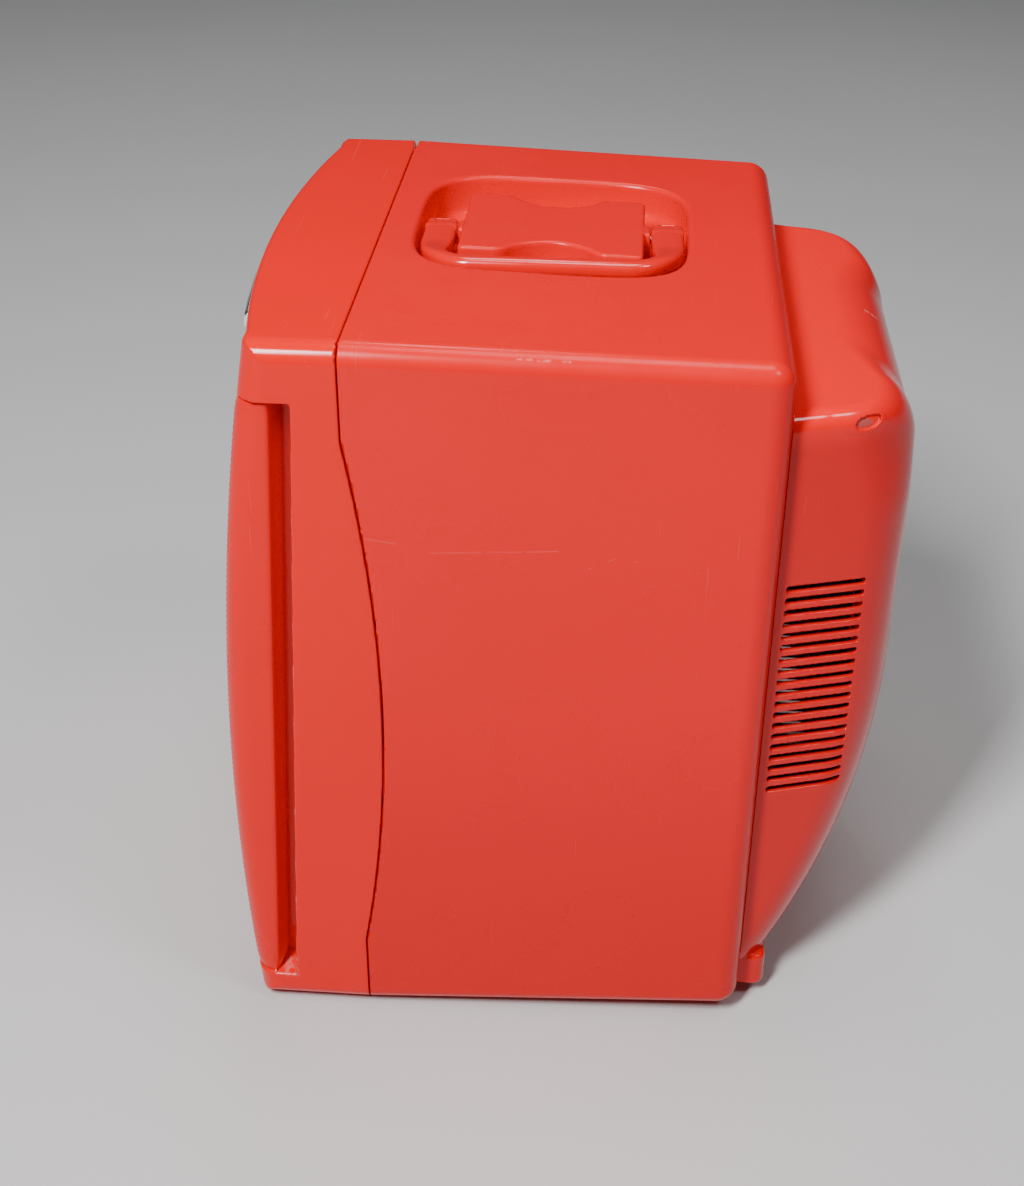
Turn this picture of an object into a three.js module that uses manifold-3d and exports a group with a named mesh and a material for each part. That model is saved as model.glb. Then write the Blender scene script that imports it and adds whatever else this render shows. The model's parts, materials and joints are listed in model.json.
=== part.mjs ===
// Portable thermoelectric cooler fridge with a bow-fronted hinged door, a folding carry handle
// in its top and a fan housing on its back.
// Millimetres, +Z up, front towards -Y. The origin is on the floor, at the middle of the footprint.
import * as THREE from "three";
import { mergeVertices } from "three/addons/utils/BufferGeometryUtils.js";
import Module from "manifold-3d";

const wasm = await Module();
wasm.setup();

// ---------------------------------------------------------------- driving dimensions
// Inside the assembly group, y = 0 is the seam between door and cabinet and z = 0 the cabinet's underside.
const HALF_WIDTH = 152.6; // cabinet at the seam
const HEIGHT = 400; // cabinet at the seam
const CABINET_DEPTH = 205.3; // seam to the cabinet's back face
const DRAFT = 5.85; // how much each outer wall leans in by the back face
const WALL = 3; // outer mouldings
const FOOT_HEIGHT = 3; // floor to the cabinet's underside at the front
const TOUCH = 0.3; // gap between pieces that touch
const SEAM_GAP = 0.9; // each side of the visible door seam

const SEAM_SAG = 14; // how far the seam bows back at mid height
const SEAM_HALF_SPAN = 153; // half the height of that bow

const DOOR_MAX_DEPTH = 80; // seam to the furthest point of the door's front
const FRONT_BOW = 12; // how far the middle of the front stands out from its corners
const FRONT_PEAK_Z = 130; // height at which the front stands out furthest
const FRONT_RADIUS = 1488; // radius of the front, seen from the side
const HEADER_BOTTOM = 371; // underside of the door's plain header
const BASE_TOP = 18; // top of the door's plain base
const GROOVE_TOP_Y = -22; // the side grip groove's rear wall, at the header
const GROOVE_BOTTOM_Y = -40.8; // and at the base
const GROOVE_DEPTH = 20;
const GRIP_WIDTH = 8; // finger gap between the groove's rear wall and the panel's curled edge

const HINGE_X = -145.2;
const HINGE_Y = 28.5;
const HINGE_Z = { lower: 135, upper: 265 };
const HINGE_BARREL_RADIUS = 5.6;
const HINGE_BARREL_LENGTH = 22;
const PIN_RADIUS = 2;
const PIN_HOLE_RADIUS = 2.25;

const CAVITY = { halfWidth: 114, bottom: 36, top: 352, front: 0.6, back: 164 };
const LINER = 2;
const FRAME_DEPTH = 14; // collar behind the seam that the door seals against

const HANDLE = { x: -20, y: 87.6, z: 390, reach: 53, legY: 59.4, tail: 9.6, corner: 20, thick: 4.4 };
const MOAT = { halfX: 69, halfY: 69.7, power: 4.2, depth: 20 };
const ISLAND = { halfX: 40.5, halfY: 47.2, scoopRadius: 28, scoopDepth: 14 };

const HOUSING = {
  front: CABINET_DEPTH + TOUCH, back: 270, top: 363.3, halfWidth: 131, taper: 0.29,
  corner: 28, sideRound: 10, backRound: 37, arcStart: 211, arcRadius: 391,
  footTop: 26, footBottom: 5, footBack: 221, wall: 2.5,
};
const FAN_Z = 209; // height of the cooling module's centre line
const VENT = { count: 19, pitch: 6.83, height: 3.4, front: 211, back: 250 };
const REAR_FAN = { half: 46, bore: 44, front: 234, back: 256 };
const INNER_FAN = { half: 30, bore: 28, front: 135, back: 150 };
const SHAFT_RADIUS = 2;
const SOCKETS_Z = 306;

// ---------------------------------------------------------------- materials
const material = (color, roughness, metalness = 0) =>
  new THREE.MeshStandardMaterial({ color, roughness, metalness });
const RED = material(0xd8221c, 0.28);
const RED_TEXTURED = material(0xd8221c, 0.4);
const WHITE = material(0xe6e7e4, 0.45);
const FOAM = material(0xf1efe6, 0.95);
const GREY_RUBBER = material(0x8f9394, 0.8);
const BLACK = material(0x17181a, 0.5);
const RUBBER = material(0x222222, 0.9);
const ALUMINIUM = material(0xb9bcc0, 0.35, 1);
const STEEL = material(0x8d9094, 0.3, 1);
const CHROME = material(0xd9dbde, 0.08, 1);
const CERAMIC = material(0xdedad0, 0.6);
const GREEN_BOARD = material(0x1d5a34, 0.5);
const YELLOW_TAPE = material(0xc9a52a, 0.5);
const GREEN_LENS = material(0x2f9c4a, 0.2);
const RED_LENS = material(0xc02218, 0.2);
const RED_WIRE = material(0xb01c1c, 0.6);

// ---------------------------------------------------------------- geometry helpers
const at = (x, y, z) => new THREE.Vector3(x, y, z);

// A closed three.js geometry as a manifold-3d solid.
function solid(geometry) {
  const bare = geometry.index ? geometry.toNonIndexed() : geometry.clone();
  for (const name of Object.keys(bare.attributes)) if (name !== "position") bare.deleteAttribute(name);
  const merged = mergeVertices(bare, 1e-4);
  return new wasm.Manifold(new wasm.Mesh({
    numProp: 3,
    vertProperties: new Float32Array(merged.attributes.position.array),
    triVerts: new Uint32Array(merged.index.array),
  }));
}

function geometryOf(manifold) {
  const mesh = manifold.getMesh();
  const count = mesh.numVert;
  const positions = new Float32Array(count * 3);
  for (let i = 0; i < count; i++)
    positions.set(mesh.vertProperties.subarray(i * mesh.numProp, i * mesh.numProp + 3), i * 3);
  const geometry = new THREE.BufferGeometry();
  geometry.setAttribute("position", new THREE.BufferAttribute(positions, 3));
  geometry.setIndex(new THREE.BufferAttribute(new Uint32Array(mesh.triVerts), 1));
  geometry.computeVertexNormals();
  return geometry;
}

function box(x0, x1, y0, y1, z0, z1) {
  const geometry = new THREE.BoxGeometry(x1 - x0, y1 - y0, z1 - z0);
  geometry.translate((x0 + x1) / 2, (y0 + y1) / 2, (z0 + z1) / 2);
  return solid(geometry);
}

// A cylinder along "x", "y" or "z", from one end to the other along that axis.
function rod(axis, [x, y, z], radius, from, to, sides = 24) {
  const geometry = new THREE.CylinderGeometry(radius, radius, to - from, sides);
  const middle = (from + to) / 2;
  if (axis === "x") geometry.rotateZ(Math.PI / 2).translate(middle, y, z);
  if (axis === "y") geometry.translate(x, middle, z);
  if (axis === "z") geometry.rotateX(Math.PI / 2).translate(x, y, middle);
  return solid(geometry);
}

// Triangles over a flat loop whose points start at the given index.
function cap(loop, start, forward) {
  const normal = at(0, 0, 0);
  loop.forEach((p, i) => normal.add(p.clone().cross(loop[(i + 1) % loop.length])));
  const dominant = ["x", "y", "z"].reduce((m, k) => (Math.abs(normal[k]) > Math.abs(normal[m]) ? k : m));
  const [u, v] = { x: ["y", "z"], y: ["z", "x"], z: ["x", "y"] }[dominant];
  const flat = loop.map((p) => new THREE.Vector2(p[u], p[v]));
  const faces = THREE.ShapeUtils.triangulateShape(flat, []);
  const covered = faces.reduce((sum, face) => sum + THREE.ShapeUtils.area(face.map((i) => flat[i])), 0);
  const same = covered * THREE.ShapeUtils.area(flat) > 0;
  return faces.flatMap((face) => (same === forward ? face : face.toReversed()).map((i) => i + start));
}

// A closed solid through a row of loops with the same number of points; the end loops are capped.
function loft(loops) {
  const count = loops[0].length;
  const positions = loops.flat().flatMap((p) => [p.x, p.y, p.z]);
  const index = [];
  for (let k = 0; k + 1 < loops.length; k++)
    for (let i = 0; i < count; i++) {
      const j = (i + 1) % count;
      const [a, b, c, d] = [k * count + i, k * count + j, (k + 1) * count + j, (k + 1) * count + i];
      index.push(a, b, c, a, c, d);
    }
  index.push(...cap(loops[0], 0, false), ...cap(loops.at(-1), (loops.length - 1) * count, true));
  const geometry = new THREE.BufferGeometry();
  geometry.setAttribute("position", new THREE.Float32BufferAttribute(positions, 3));
  geometry.setIndex(index);
  const made = solid(geometry);
  if (made.volume() > 0) return made;
  for (let i = 0; i < index.length; i += 3) [index[i + 1], index[i + 2]] = [index[i + 2], index[i + 1]];
  geometry.setIndex(index);
  return solid(geometry);
}

// Rounded rectangle in the plane y, anticlockwise from the lower right corner.
function rectangleLoop(x0, x1, z0, z1, radius, y, steps = 4) {
  const corners = [[x1, z0, -90], [x1, z1, 0], [x0, z1, 90], [x0, z0, 180]];
  return corners.flatMap(([cx, cz, start]) =>
    Array.from({ length: steps + 1 }, (_, i) => {
      const angle = THREE.MathUtils.degToRad(start + (90 * i) / steps);
      const inX = cx === x1 ? x1 - radius : x0 + radius;
      const inZ = cz === z1 ? z1 - radius : z0 + radius;
      return at(inX + radius * Math.cos(angle), y, inZ + radius * Math.sin(angle));
    }));
}

// An outline in the XY plane, extruded up from z0 to z1.
function prism(outline, z0, z1) {
  return loft([outline.map((p) => at(p.x, p.y, z0)), outline.map((p) => at(p.x, p.y, z1))]);
}

const union = (...parts) => parts.reduce((a, b) => a.add(b));
const without = (body, ...cuts) => cuts.reduce((a, b) => a.subtract(b), body);

const assembly = new THREE.Group();
function piece(name, shape, look) {
  const mesh = new THREE.Mesh(geometryOf(shape), look);
  mesh.name = name;
  assembly.add(mesh);
}

// ---------------------------------------------------------------- shared surfaces
// Where the seam between door and cabinet runs, seen from the side.
function seamY(z) {
  const fromMiddle = (z - HEIGHT / 2) / SEAM_HALF_SPAN;
  return Math.abs(fromMiddle) >= 1 ? 0 : SEAM_SAG * (1 - fromMiddle * fromMiddle);
}

// Everything in front of the seam, moved back by shift.
function frontOfSeam(shift) {
  const far = -200;
  const heights = [-20, HEIGHT / 2 - SEAM_HALF_SPAN];
  const steps = 14;
  for (let i = 1; i < steps; i++)
    heights.push(HEIGHT / 2 - SEAM_HALF_SPAN + (2 * SEAM_HALF_SPAN * i) / steps);
  heights.push(HEIGHT / 2 + SEAM_HALF_SPAN, HEIGHT + 20);
  const outline = [...heights.map((z) => [seamY(z) + shift, z]), [far, HEIGHT + 20], [far, -20]];
  const reach = HALF_WIDTH + 20;
  return loft([-reach, reach].map((x) => outline.map(([y, z]) => at(x, y, z))));
}

// How far the door's front stands out from the seam, at its corners and at a given x.
const frontDepthZ = (z) => DOOR_MAX_DEPTH - FRONT_BOW - (z - FRONT_PEAK_Z) ** 2 / (2 * FRONT_RADIUS);
const frontBow = (x) => FRONT_BOW * (1 - Math.min(1, Math.abs(x) / 132) ** 2);
const grooveY = (z) =>
  THREE.MathUtils.mapLinear(z, BASE_TOP, HEADER_BOTTOM, GROOVE_BOTTOM_Y, GROOVE_TOP_Y);

// ---------------------------------------------------------------- cabinet
// The cabinet's outside, shrunk by inset, from y = front to its rounded back.
function cabinetBlock(inset, front, back) {
  const round = 16;
  const stations = [front, back - round, back - round * 0.62, back - round * 0.3, back - round * 0.08, back];
  return loft(stations.map((y) => {
    const lean = (DRAFT * y) / CABINET_DEPTH + inset;
    const into = Math.max(0, y - (back - round));
    const curl = round - Math.sqrt(round * round - into * into);
    const pull = Math.min(curl, round * 0.75);
    return rectangleLoop(
      -HALF_WIDTH + lean + pull, HALF_WIDTH - lean - pull,
      lean + pull, HEIGHT - lean - pull, Math.max(3, 10 - inset) + pull * 0.5, y,
    );
  }));
}

// The handle well's outline, grown by extra.
function moatOutline(extra) {
  const steps = 36;
  return Array.from({ length: steps }, (_, i) => {
    const angle = (2 * Math.PI * i) / steps;
    const curve = (v, size) => Math.sign(v) * (size + extra) * Math.abs(v) ** (2 / MOAT.power);
    return { x: HANDLE.x + curve(Math.cos(angle), MOAT.halfX), y: HANDLE.y + curve(Math.sin(angle), MOAT.halfY) };
  });
}

// The island in the middle of the handle well, with a finger scoop on each side.
function island(shrink, z0, z1) {
  const block = box(
    HANDLE.x - ISLAND.halfX + shrink, HANDLE.x + ISLAND.halfX - shrink,
    HANDLE.y - ISLAND.halfY + shrink, HANDLE.y + ISLAND.halfY - shrink, z0, z1,
  );
  const out = ISLAND.halfX + ISLAND.scoopRadius - ISLAND.scoopDepth;
  const scoop = (side) =>
    rod("z", [HANDLE.x + side * out, HANDLE.y, 0], ISLAND.scoopRadius + shrink, z0 - 1, z1 + 1, 32);
  return without(block, scoop(1), scoop(-1));
}

const topAt = (y) => HEIGHT - (DRAFT * y) / CABINET_DEPTH;
const wellFloor = topAt(HANDLE.y) - MOAT.depth;
const bossY = [HANDLE.y - ISLAND.halfY - 3.4, HANDLE.y + ISLAND.halfY - 0.4]; // low edge of each pivot boss

function hingeNotch(z, grow) {
  const half = HINGE_BARREL_LENGTH / 2 + grow;
  return box(-HALF_WIDTH - 5, HINGE_X + 8 + grow, -1, HINGE_Y + 8 + grow, z - half, z + half);
}

function bracketBlock(z, grow) {
  const half = HINGE_BARREL_LENGTH / 2 + 12 + grow;
  return box(-151 - grow, -128 + grow, 16.4 - grow, 40 + grow, z - half, z + half);
}

function cabinetShell() {
  let shell = without(cabinetBlock(0, -4, CABINET_DEPTH), cabinetBlock(WALL, -6, CABINET_DEPTH - WALL));
  const tub = prism(moatOutline(2.5), wellFloor - WALL, topAt(HANDLE.y) - 1);
  const under = island(WALL, wellFloor - WALL - 1, topAt(HANDLE.y) - WALL - 0.5);
  shell = shell.add(tub).subtract(under);
  const well = prism(moatOutline(0), wellFloor, HEIGHT + 5).subtract(island(0, wellFloor - 1, HEIGHT + 6));
  shell = shell.subtract(well);
  for (const y of bossY)
    shell = shell.add(box(HANDLE.x - 6, HANDLE.x + 6, y, y + 3.8, wellFloor - 1, HANDLE.z + 5.5));
  for (const y of bossY)
    shell = shell.subtract(rod("y", [HANDLE.x, 0, HANDLE.z], PIN_HOLE_RADIUS, y - 3, y + 7, 16));
  shell = without(shell, frontOfSeam(SEAM_GAP), box(-49, 49, 190, 220, FAN_Z - 49, FAN_Z + 49));
  for (const z of Object.values(HINGE_Z)) shell = shell.subtract(bracketBlock(z, TOUCH)).subtract(hingeNotch(z, 1));
  for (const [x, z] of screwPlaces) shell = shell.subtract(rod("y", [x, 0, z], 2.2, 195, 210, 12));
  for (const [x, y] of footPlaces) shell = shell.subtract(rod("z", [x, y, 0], 4.3, -2, 15, 16));
  return shell;
}

// The collar that the door's seal closes on. It stands inside the shell and reaches the seam plane.
function frontFrame() {
  const outer = loft([0, FRAME_DEPTH].map((y) => rectangleLoop(-146, 146, 6.5, HEIGHT - 6.5, 7, y)));
  const bore = CAVITY.halfWidth + LINER + TOUCH;
  const inner = box(-bore, bore, -1, FRAME_DEPTH + 1, CAVITY.bottom - LINER - TOUCH, CAVITY.top + LINER + TOUCH);
  let frame = outer.subtract(inner).intersect(cabinetBlock(WALL + TOUCH, -2, 100));
  for (const z of Object.values(HINGE_Z)) frame = without(frame, bracketBlock(z, TOUCH), hingeNotch(z, 1));
  return frame;
}

function innerLiner() {
  const { halfWidth, bottom, top, front, back } = CAVITY;
  const outer = box(-halfWidth - LINER, halfWidth + LINER, front, back + LINER, bottom - LINER, top + LINER);
  const inner = box(-halfWidth, halfWidth, front - 1, back, bottom, top);
  let liner = outer.subtract(inner);
  for (const side of [-1, 1])
    for (const z of SHELF_HEIGHTS) {
      const [near, far] = side < 0 ? [-halfWidth - 1, -halfWidth + 6] : [halfWidth - 6, halfWidth + 1];
      liner = liner.add(box(near, far, 40, back + 1, z - 4, z));
    }
  return liner.subtract(box(-22, 22, back - 2, back + 5, FAN_Z - 22, FAN_Z + 22));
}
const SHELF_HEIGHTS = [110, 180, 262];

function cabinetFoam() {
  const gap = WALL + TOUCH;
  const { halfWidth, bottom, top, back } = CAVITY;
  const liner = LINER + TOUCH;
  let foam = cabinetBlock(gap, FRAME_DEPTH + TOUCH, CABINET_DEPTH - gap);
  foam = without(foam,
    box(-halfWidth - liner, halfWidth + liner, 0, back + liner, bottom - liner, top + liner),
    prism(moatOutline(2.5 + TOUCH), wellFloor - WALL - TOUCH, HEIGHT),
    box(-22, 22, back, CABINET_DEPTH, FAN_Z - 22, FAN_Z + 22),
    box(-50, 50, 195, CABINET_DEPTH, FAN_Z - 50, FAN_Z + 50));
  for (const z of Object.values(HINGE_Z)) foam = without(foam, bracketBlock(z, TOUCH), hingeNotch(z, 1));
  for (const [x, z] of screwPlaces) foam = foam.subtract(rod("y", [x, 0, z], 2.5, 185, 210, 12));
  for (const [x, y] of footPlaces) foam = foam.subtract(rod("z", [x, y, 0], 4.6, -2, 15, 16));
  return foam;
}

function hingeBracket(z) {
  const block = bracketBlock(z, 0);
  const reach = HINGE_BARREL_LENGTH / 2;
  return without(block, hingeNotch(z, 0.6),
    rod("z", [HINGE_X, HINGE_Y, 0], PIN_HOLE_RADIUS, z - reach - 10, z + reach + 10, 20));
}

// ---------------------------------------------------------------- feet
const footPlaces = [[-118, 24], [118, 24], [-112, 178], [112, 178]];
function foot([x, y]) {
  const underside = (DRAFT * y) / CABINET_DEPTH;
  return union(
    rod("z", [x, y, 0], 9, -FOOT_HEIGHT, underside - TOUCH, 24),
    rod("z", [x, y, 0], 4, underside - 1, underside + 8, 16));
}

// ---------------------------------------------------------------- carry handle
// A U of changing section: flat legs with squared-off pivot ends, and a rounder bar for the hand.
function carryHandle() {
  const { reach, corner, legY, tail, thick } = HANDLE;
  const path = [[-tail, legY, 0], [10, legY, 0], [reach - corner, legY, 0]];
  for (let i = 1; i <= 6; i++) {
    const a = (Math.PI / 2) * (i / 6);
    path.push([reach - corner + corner * Math.sin(a), legY - corner + corner * Math.cos(a), a]);
  }
  path.push([reach, 0, Math.PI / 2]);
  const mirrored = path.slice(0, -1).reverse().map(([u, v, a]) => [u, -v, Math.PI - a]);
  const sides = 14;
  const loops = [...path, ...mirrored].map(([u, v, a]) => {
    const grip = THREE.MathUtils.smoothstep(u, 22, 50);
    const half = THREE.MathUtils.lerp(8.2, 5, grip);
    const power = THREE.MathUtils.lerp(5, 2.4, grip);
    const rise = THREE.MathUtils.lerp(1.2, 4, grip);
    const curve = (value) => Math.sign(value) * Math.abs(value) ** (2 / power);
    return Array.from({ length: sides }, (_, i) => {
      const t = (2 * Math.PI * (i + 0.5)) / sides;
      const across = half * curve(Math.cos(t));
      const x = HANDLE.x + u + across * Math.sin(a);
      const y = HANDLE.y + v + across * Math.cos(a);
      return at(x, y, HANDLE.z + rise + thick * curve(Math.sin(t)));
    });
  });
  let handle = loft(loops);
  for (const y of [HANDLE.y - legY, HANDLE.y + legY]) {
    handle = handle.add(rod("y", [HANDLE.x, 0, HANDLE.z], 5.3, y - 8, y + 8, 24));
    handle = handle.subtract(rod("y", [HANDLE.x, 0, HANDLE.z], PIN_HOLE_RADIUS, y - 12, y + 12, 16));
  }
  return handle;
}

// ---------------------------------------------------------------- door
// The door's outside, shrunk by inset all round; its rear stays open-ended past the seam.
function doorBlock(inset, rear = 40, corner = 14) {
  const edge = 9; // top and bottom edge rounding
  const heights = [0, 0.08, 0.3, 0.62, 1].map((s) => inset + edge * s);
  const middle = [14.5, BASE_TOP, 32, 60, 95, 130, 165, 200, 235, 270, 305, 340, HEADER_BOTTOM, 384];
  const upper = heights.map((z) => HEIGHT - z).reverse();
  return loft([...heights, ...middle, ...upper].map((z) => {
    const fromEdge = Math.max(0, inset + edge - Math.min(z, HEIGHT - z));
    const curl = edge - Math.sqrt(Math.max(0, edge * edge - fromEdge * fromEdge));
    return doorSection(z, inset, Math.min(curl, edge * 0.8), rear, corner);
  }));
}

function doorSection(z, inset, curl, rear, corner) {
  const side = HALF_WIDTH - inset - curl;
  const depth = (x) => -(frontDepthZ(z) + frontBow(x) - inset - curl * 0.45);
  const points = [at(side, rear, z)];
  const steps = 5;
  const centre = { x: side - corner, y: depth(HALF_WIDTH) + corner };
  for (let i = 0; i <= steps; i++) {
    const a = (Math.PI / 2) * (i / steps);
    points.push(at(centre.x + corner * Math.cos(a), centre.y - corner * Math.sin(a), z));
  }
  const right = points;
  const across = [108, 72, 36, 0, -36, -72, -108].map((x) => at(x, depth(x), z));
  const left = right.map((p) => at(-p.x, p.y, z)).reverse();
  return [...right, ...across, ...left];
}

// The space in front of the groove wall, between header and base, grown by extra.
function panelZone(extra) {
  const heights = [BASE_TOP - extra, HEADER_BOTTOM + extra];
  const reach = HALF_WIDTH + 10;
  return loft([-reach, reach].map((x) => [
    at(x, grooveY(heights[0]) + extra, heights[0]), at(x, grooveY(heights[1]) + extra, heights[1]),
    at(x, -150, heights[1]), at(x, -150, heights[0]),
  ]));
}

// The door body behind the front panel.
function doorCore(extra) {
  const half = HALF_WIDTH - GROOVE_DEPTH - extra;
  const heights = [-5, BASE_TOP, 32, 80, 130, 180, 230, 280, 330, HEADER_BOTTOM, HEIGHT + 5];
  return loft(heights.map((z) => {
    const depth = (x) => -(frontDepthZ(z) + frontBow(x) - 6 - extra);
    const xs = [half, 90, 45, 0, -45, -90, -half];
    return [at(half, 60, z), at(half, Math.min(depth(half), grooveY(z) - 3) + 8, z),
      ...xs.map((x) => at(x * 0.96, depth(x), z)),
      at(-half, Math.min(depth(half), grooveY(z) - 3) + 8, z), at(-half, 60, z)];
  }));
}

function doorShell() {
  const outside = doorBlock(0).subtract(panelZone(0)).add(doorBlock(0).intersect(doorCore(0)));
  const inside = doorBlock(WALL).subtract(panelZone(WALL)).add(doorBlock(WALL).intersect(doorCore(WALL)));
  let shell = outside.subtract(inside).intersect(frontOfSeam(-SEAM_GAP));
  for (const z of Object.values(HINGE_Z)) shell = shell.add(hingeArm(z));
  return without(shell,
    rod("y", [0, 0, BADGE.z], 4.2, -90, -20, 16),
    ...Object.values(HINGE_Z).map((z) => rod("z", [HINGE_X, HINGE_Y, 0], PIN_HOLE_RADIUS, z - 20, z + 20, 20)));
}

// Arm and barrel that reach back from the door's edge to the hinge pin.
function hingeArm(z) {
  const half = HINGE_BARREL_LENGTH / 2;
  const barrel = rod("z", [HINGE_X, HINGE_Y, 0], HINGE_BARREL_RADIUS, z - half, z + half, 20);
  const arm = box(HINGE_X - HINGE_BARREL_RADIUS, HINGE_X + 1.6, 4, HINGE_Y, z - half, z + half);
  const root = box(-HALF_WIDTH + 1, HINGE_X + 1.6, 2, seamY(z) - SEAM_GAP - 2, z - half, z + half);
  return union(barrel, arm, root);
}

// Bowed skin whose sides curl round into the grip grooves.
function frontPanel() {
  const heights = [BASE_TOP + TOUCH, 32, 60, 95, 130, 165, 200, 235, 270, 305, 340, HEADER_BOTTOM - TOUCH];
  const thick = 2.4;
  return loft(heights.map((z) => {
    const outer = panelHalf(z, 0);
    const inner = panelHalf(z, thick).reverse();
    const mirror = (points) => points.map((p) => at(-p.x, p.y, p.z)).reverse();
    return [...outer, ...mirror(outer), ...mirror(inner), ...inner];
  }));
}

// Half of the panel's section at height z, from the groove's lip to the middle, moved in by inset.
function panelHalf(z, inset) {
  const groove = grooveY(z);
  const front = -frontDepthZ(z);
  const side = HALF_WIDTH - 2.2 - inset;
  const round = 12 - inset;
  const lip = HALF_WIDTH - GROOVE_DEPTH + 0.4 + inset * 0.1;
  const channel = groove - GRIP_WIDTH - inset;
  const points = [
    at(lip, channel, z), at(lip + 8, channel - 0.6, z), at(side - 4.6 + inset * 0.6, channel - 1.9, z),
    at(side - 1.1, channel - 3.4 + inset * 0.6, z), at(side, channel - 4.4 + inset, z),
  ];
  const steps = 4;
  for (let i = 1; i <= steps; i++) {
    const a = (Math.PI / 2) * (i / steps);
    points.push(at(side - round + round * Math.cos(a), front + inset + round - round * Math.sin(a), z));
  }
  for (const x of [108, 72, 36, 6]) points.push(at(x, front - frontBow(x) + inset, z));
  return points;
}

const BADGE = { z: 384.5, halfX: 90, halfZ: 7.5 };
// Slim bar with bevelled edges that follows the header's bow, on a post through the door shell.
function headerBadge() {
  const stations = [-1, -0.96, -0.8, -0.6, -0.4, -0.2, 0, 0.2, 0.4, 0.6, 0.8, 0.96, 1];
  const bar = loft(stations.map((s) => {
    const x = s * BADGE.halfX;
    const high = BADGE.halfZ * Math.sqrt(1 - 0.8 * s ** 8);
    return [[-1, 0.4], [-1, 1.1], [-0.7, 2.1], [0.7, 2.1], [1, 1.1], [1, 0.4]].map(([across, off]) => {
      const z = BADGE.z + across * high;
      return at(x, -(frontDepthZ(z) + frontBow(x) + off), z);
    });
  }));
  const face = -(frontDepthZ(BADGE.z) + FRONT_BOW);
  return bar.add(rod("y", [0, 0, BADGE.z], 3.6, face - 2, face + 6, 12));
}

// The door's inner panel: a plate with a raised dyke whose cheeks carry the racks.
const DYKE = { halfX: 104, bottom: 47, top: 341, rear: 26, wall: 2.2 };
const DOOR_BACK = -9;
function doorLiner() {
  const plate = loft([DOOR_BACK - 2.5, DOOR_BACK].map((y) => rectangleLoop(-149, 149, 6, HEIGHT - 6, 8, y)));
  let liner = plate;
  for (const side of [-1, 1]) {
    const [a, b] = [side * DYKE.halfX, side * (DYKE.halfX - DYKE.wall)].sort((p, q) => p - q);
    liner = liner.add(box(a, b, DOOR_BACK - 1, DYKE.rear, DYKE.bottom, DYKE.top));
  }
  for (const z of [DYKE.bottom, DYKE.top - DYKE.wall])
    liner = liner.add(box(-DYKE.halfX, DYKE.halfX, DOOR_BACK - 1, DYKE.rear - 12, z, z + DYKE.wall));
  for (const z of RACK_HEIGHTS)
    liner = liner.add(box(-DYKE.halfX + 1, DYKE.halfX - 1, DOOR_BACK - 1, DYKE.rear - 2, z - 2.2, z));
  return liner;
}
const RACK_HEIGHTS = [72, 214];

// Rail that stops bottles falling forward, standing on the dyke's ledge.
function doorRack(z) {
  const half = DYKE.halfX - DYKE.wall - TOUCH;
  const rail = box(-half, half, DYKE.rear - 2.5, DYKE.rear, z + TOUCH, z + 34);
  const slots = [-72, -24, 24, 72].map((x) => box(x - 18, x + 18, DYKE.rear - 5, DYKE.rear + 2, z + 11, z + 24));
  const ends = [-1, 1].map((side) => {
    const [a, b] = [side * half, side * (half - 2.5)].sort((p, q) => p - q);
    return box(a, b, DYKE.rear - 20, DYKE.rear - 1, z + TOUCH, z + 34);
  });
  return union(without(rail, ...slots), ...ends);
}

function doorGasket() {
  const ring = (x, z0, z1, y0, y1) => loft([y0, y1].map((y) => rectangleLoop(-x, x, z0, z1, 5, y)));
  const land = CAVITY.halfWidth + 8;
  const low = CAVITY.bottom - 8;
  const high = CAVITY.top + 8;
  const lip = ring(land + 12, low - 12, high + 12, DOOR_BACK + TOUCH, DOOR_BACK + 3);
  const bulb = ring(land + 9, low - 9, high + 9, DOOR_BACK + 2.5, -0.5);
  const bore = ring(land, low, high, DOOR_BACK - 1, 2);
  return union(lip, bulb).subtract(bore);
}

function doorFoam() {
  const heights = [8, 40, 110, 180, 250, 320, 355, 392];
  const half = HALF_WIDTH - GROOVE_DEPTH - WALL - 2;
  return loft(heights.map((z) => {
    const depth = (x) => -(frontDepthZ(z) + frontBow(x) - 14);
    return [at(half, DOOR_BACK - 2.5 - TOUCH, z), at(half, Math.max(depth(half), -52) + 12, z),
      ...[100, 50, 0, -50, -100].map((x) => at(x, depth(x), z)),
      at(-half, Math.max(depth(half), -52) + 12, z), at(-half, DOOR_BACK - 2.5 - TOUCH, z)];
  }));
}

// ---------------------------------------------------------------- rear housing
function housingBackY(z) {
  const below = Math.max(0, HOUSING.arcStart - z);
  return HOUSING.back - (HOUSING.arcRadius - Math.sqrt(HOUSING.arcRadius ** 2 - below ** 2));
}

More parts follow.
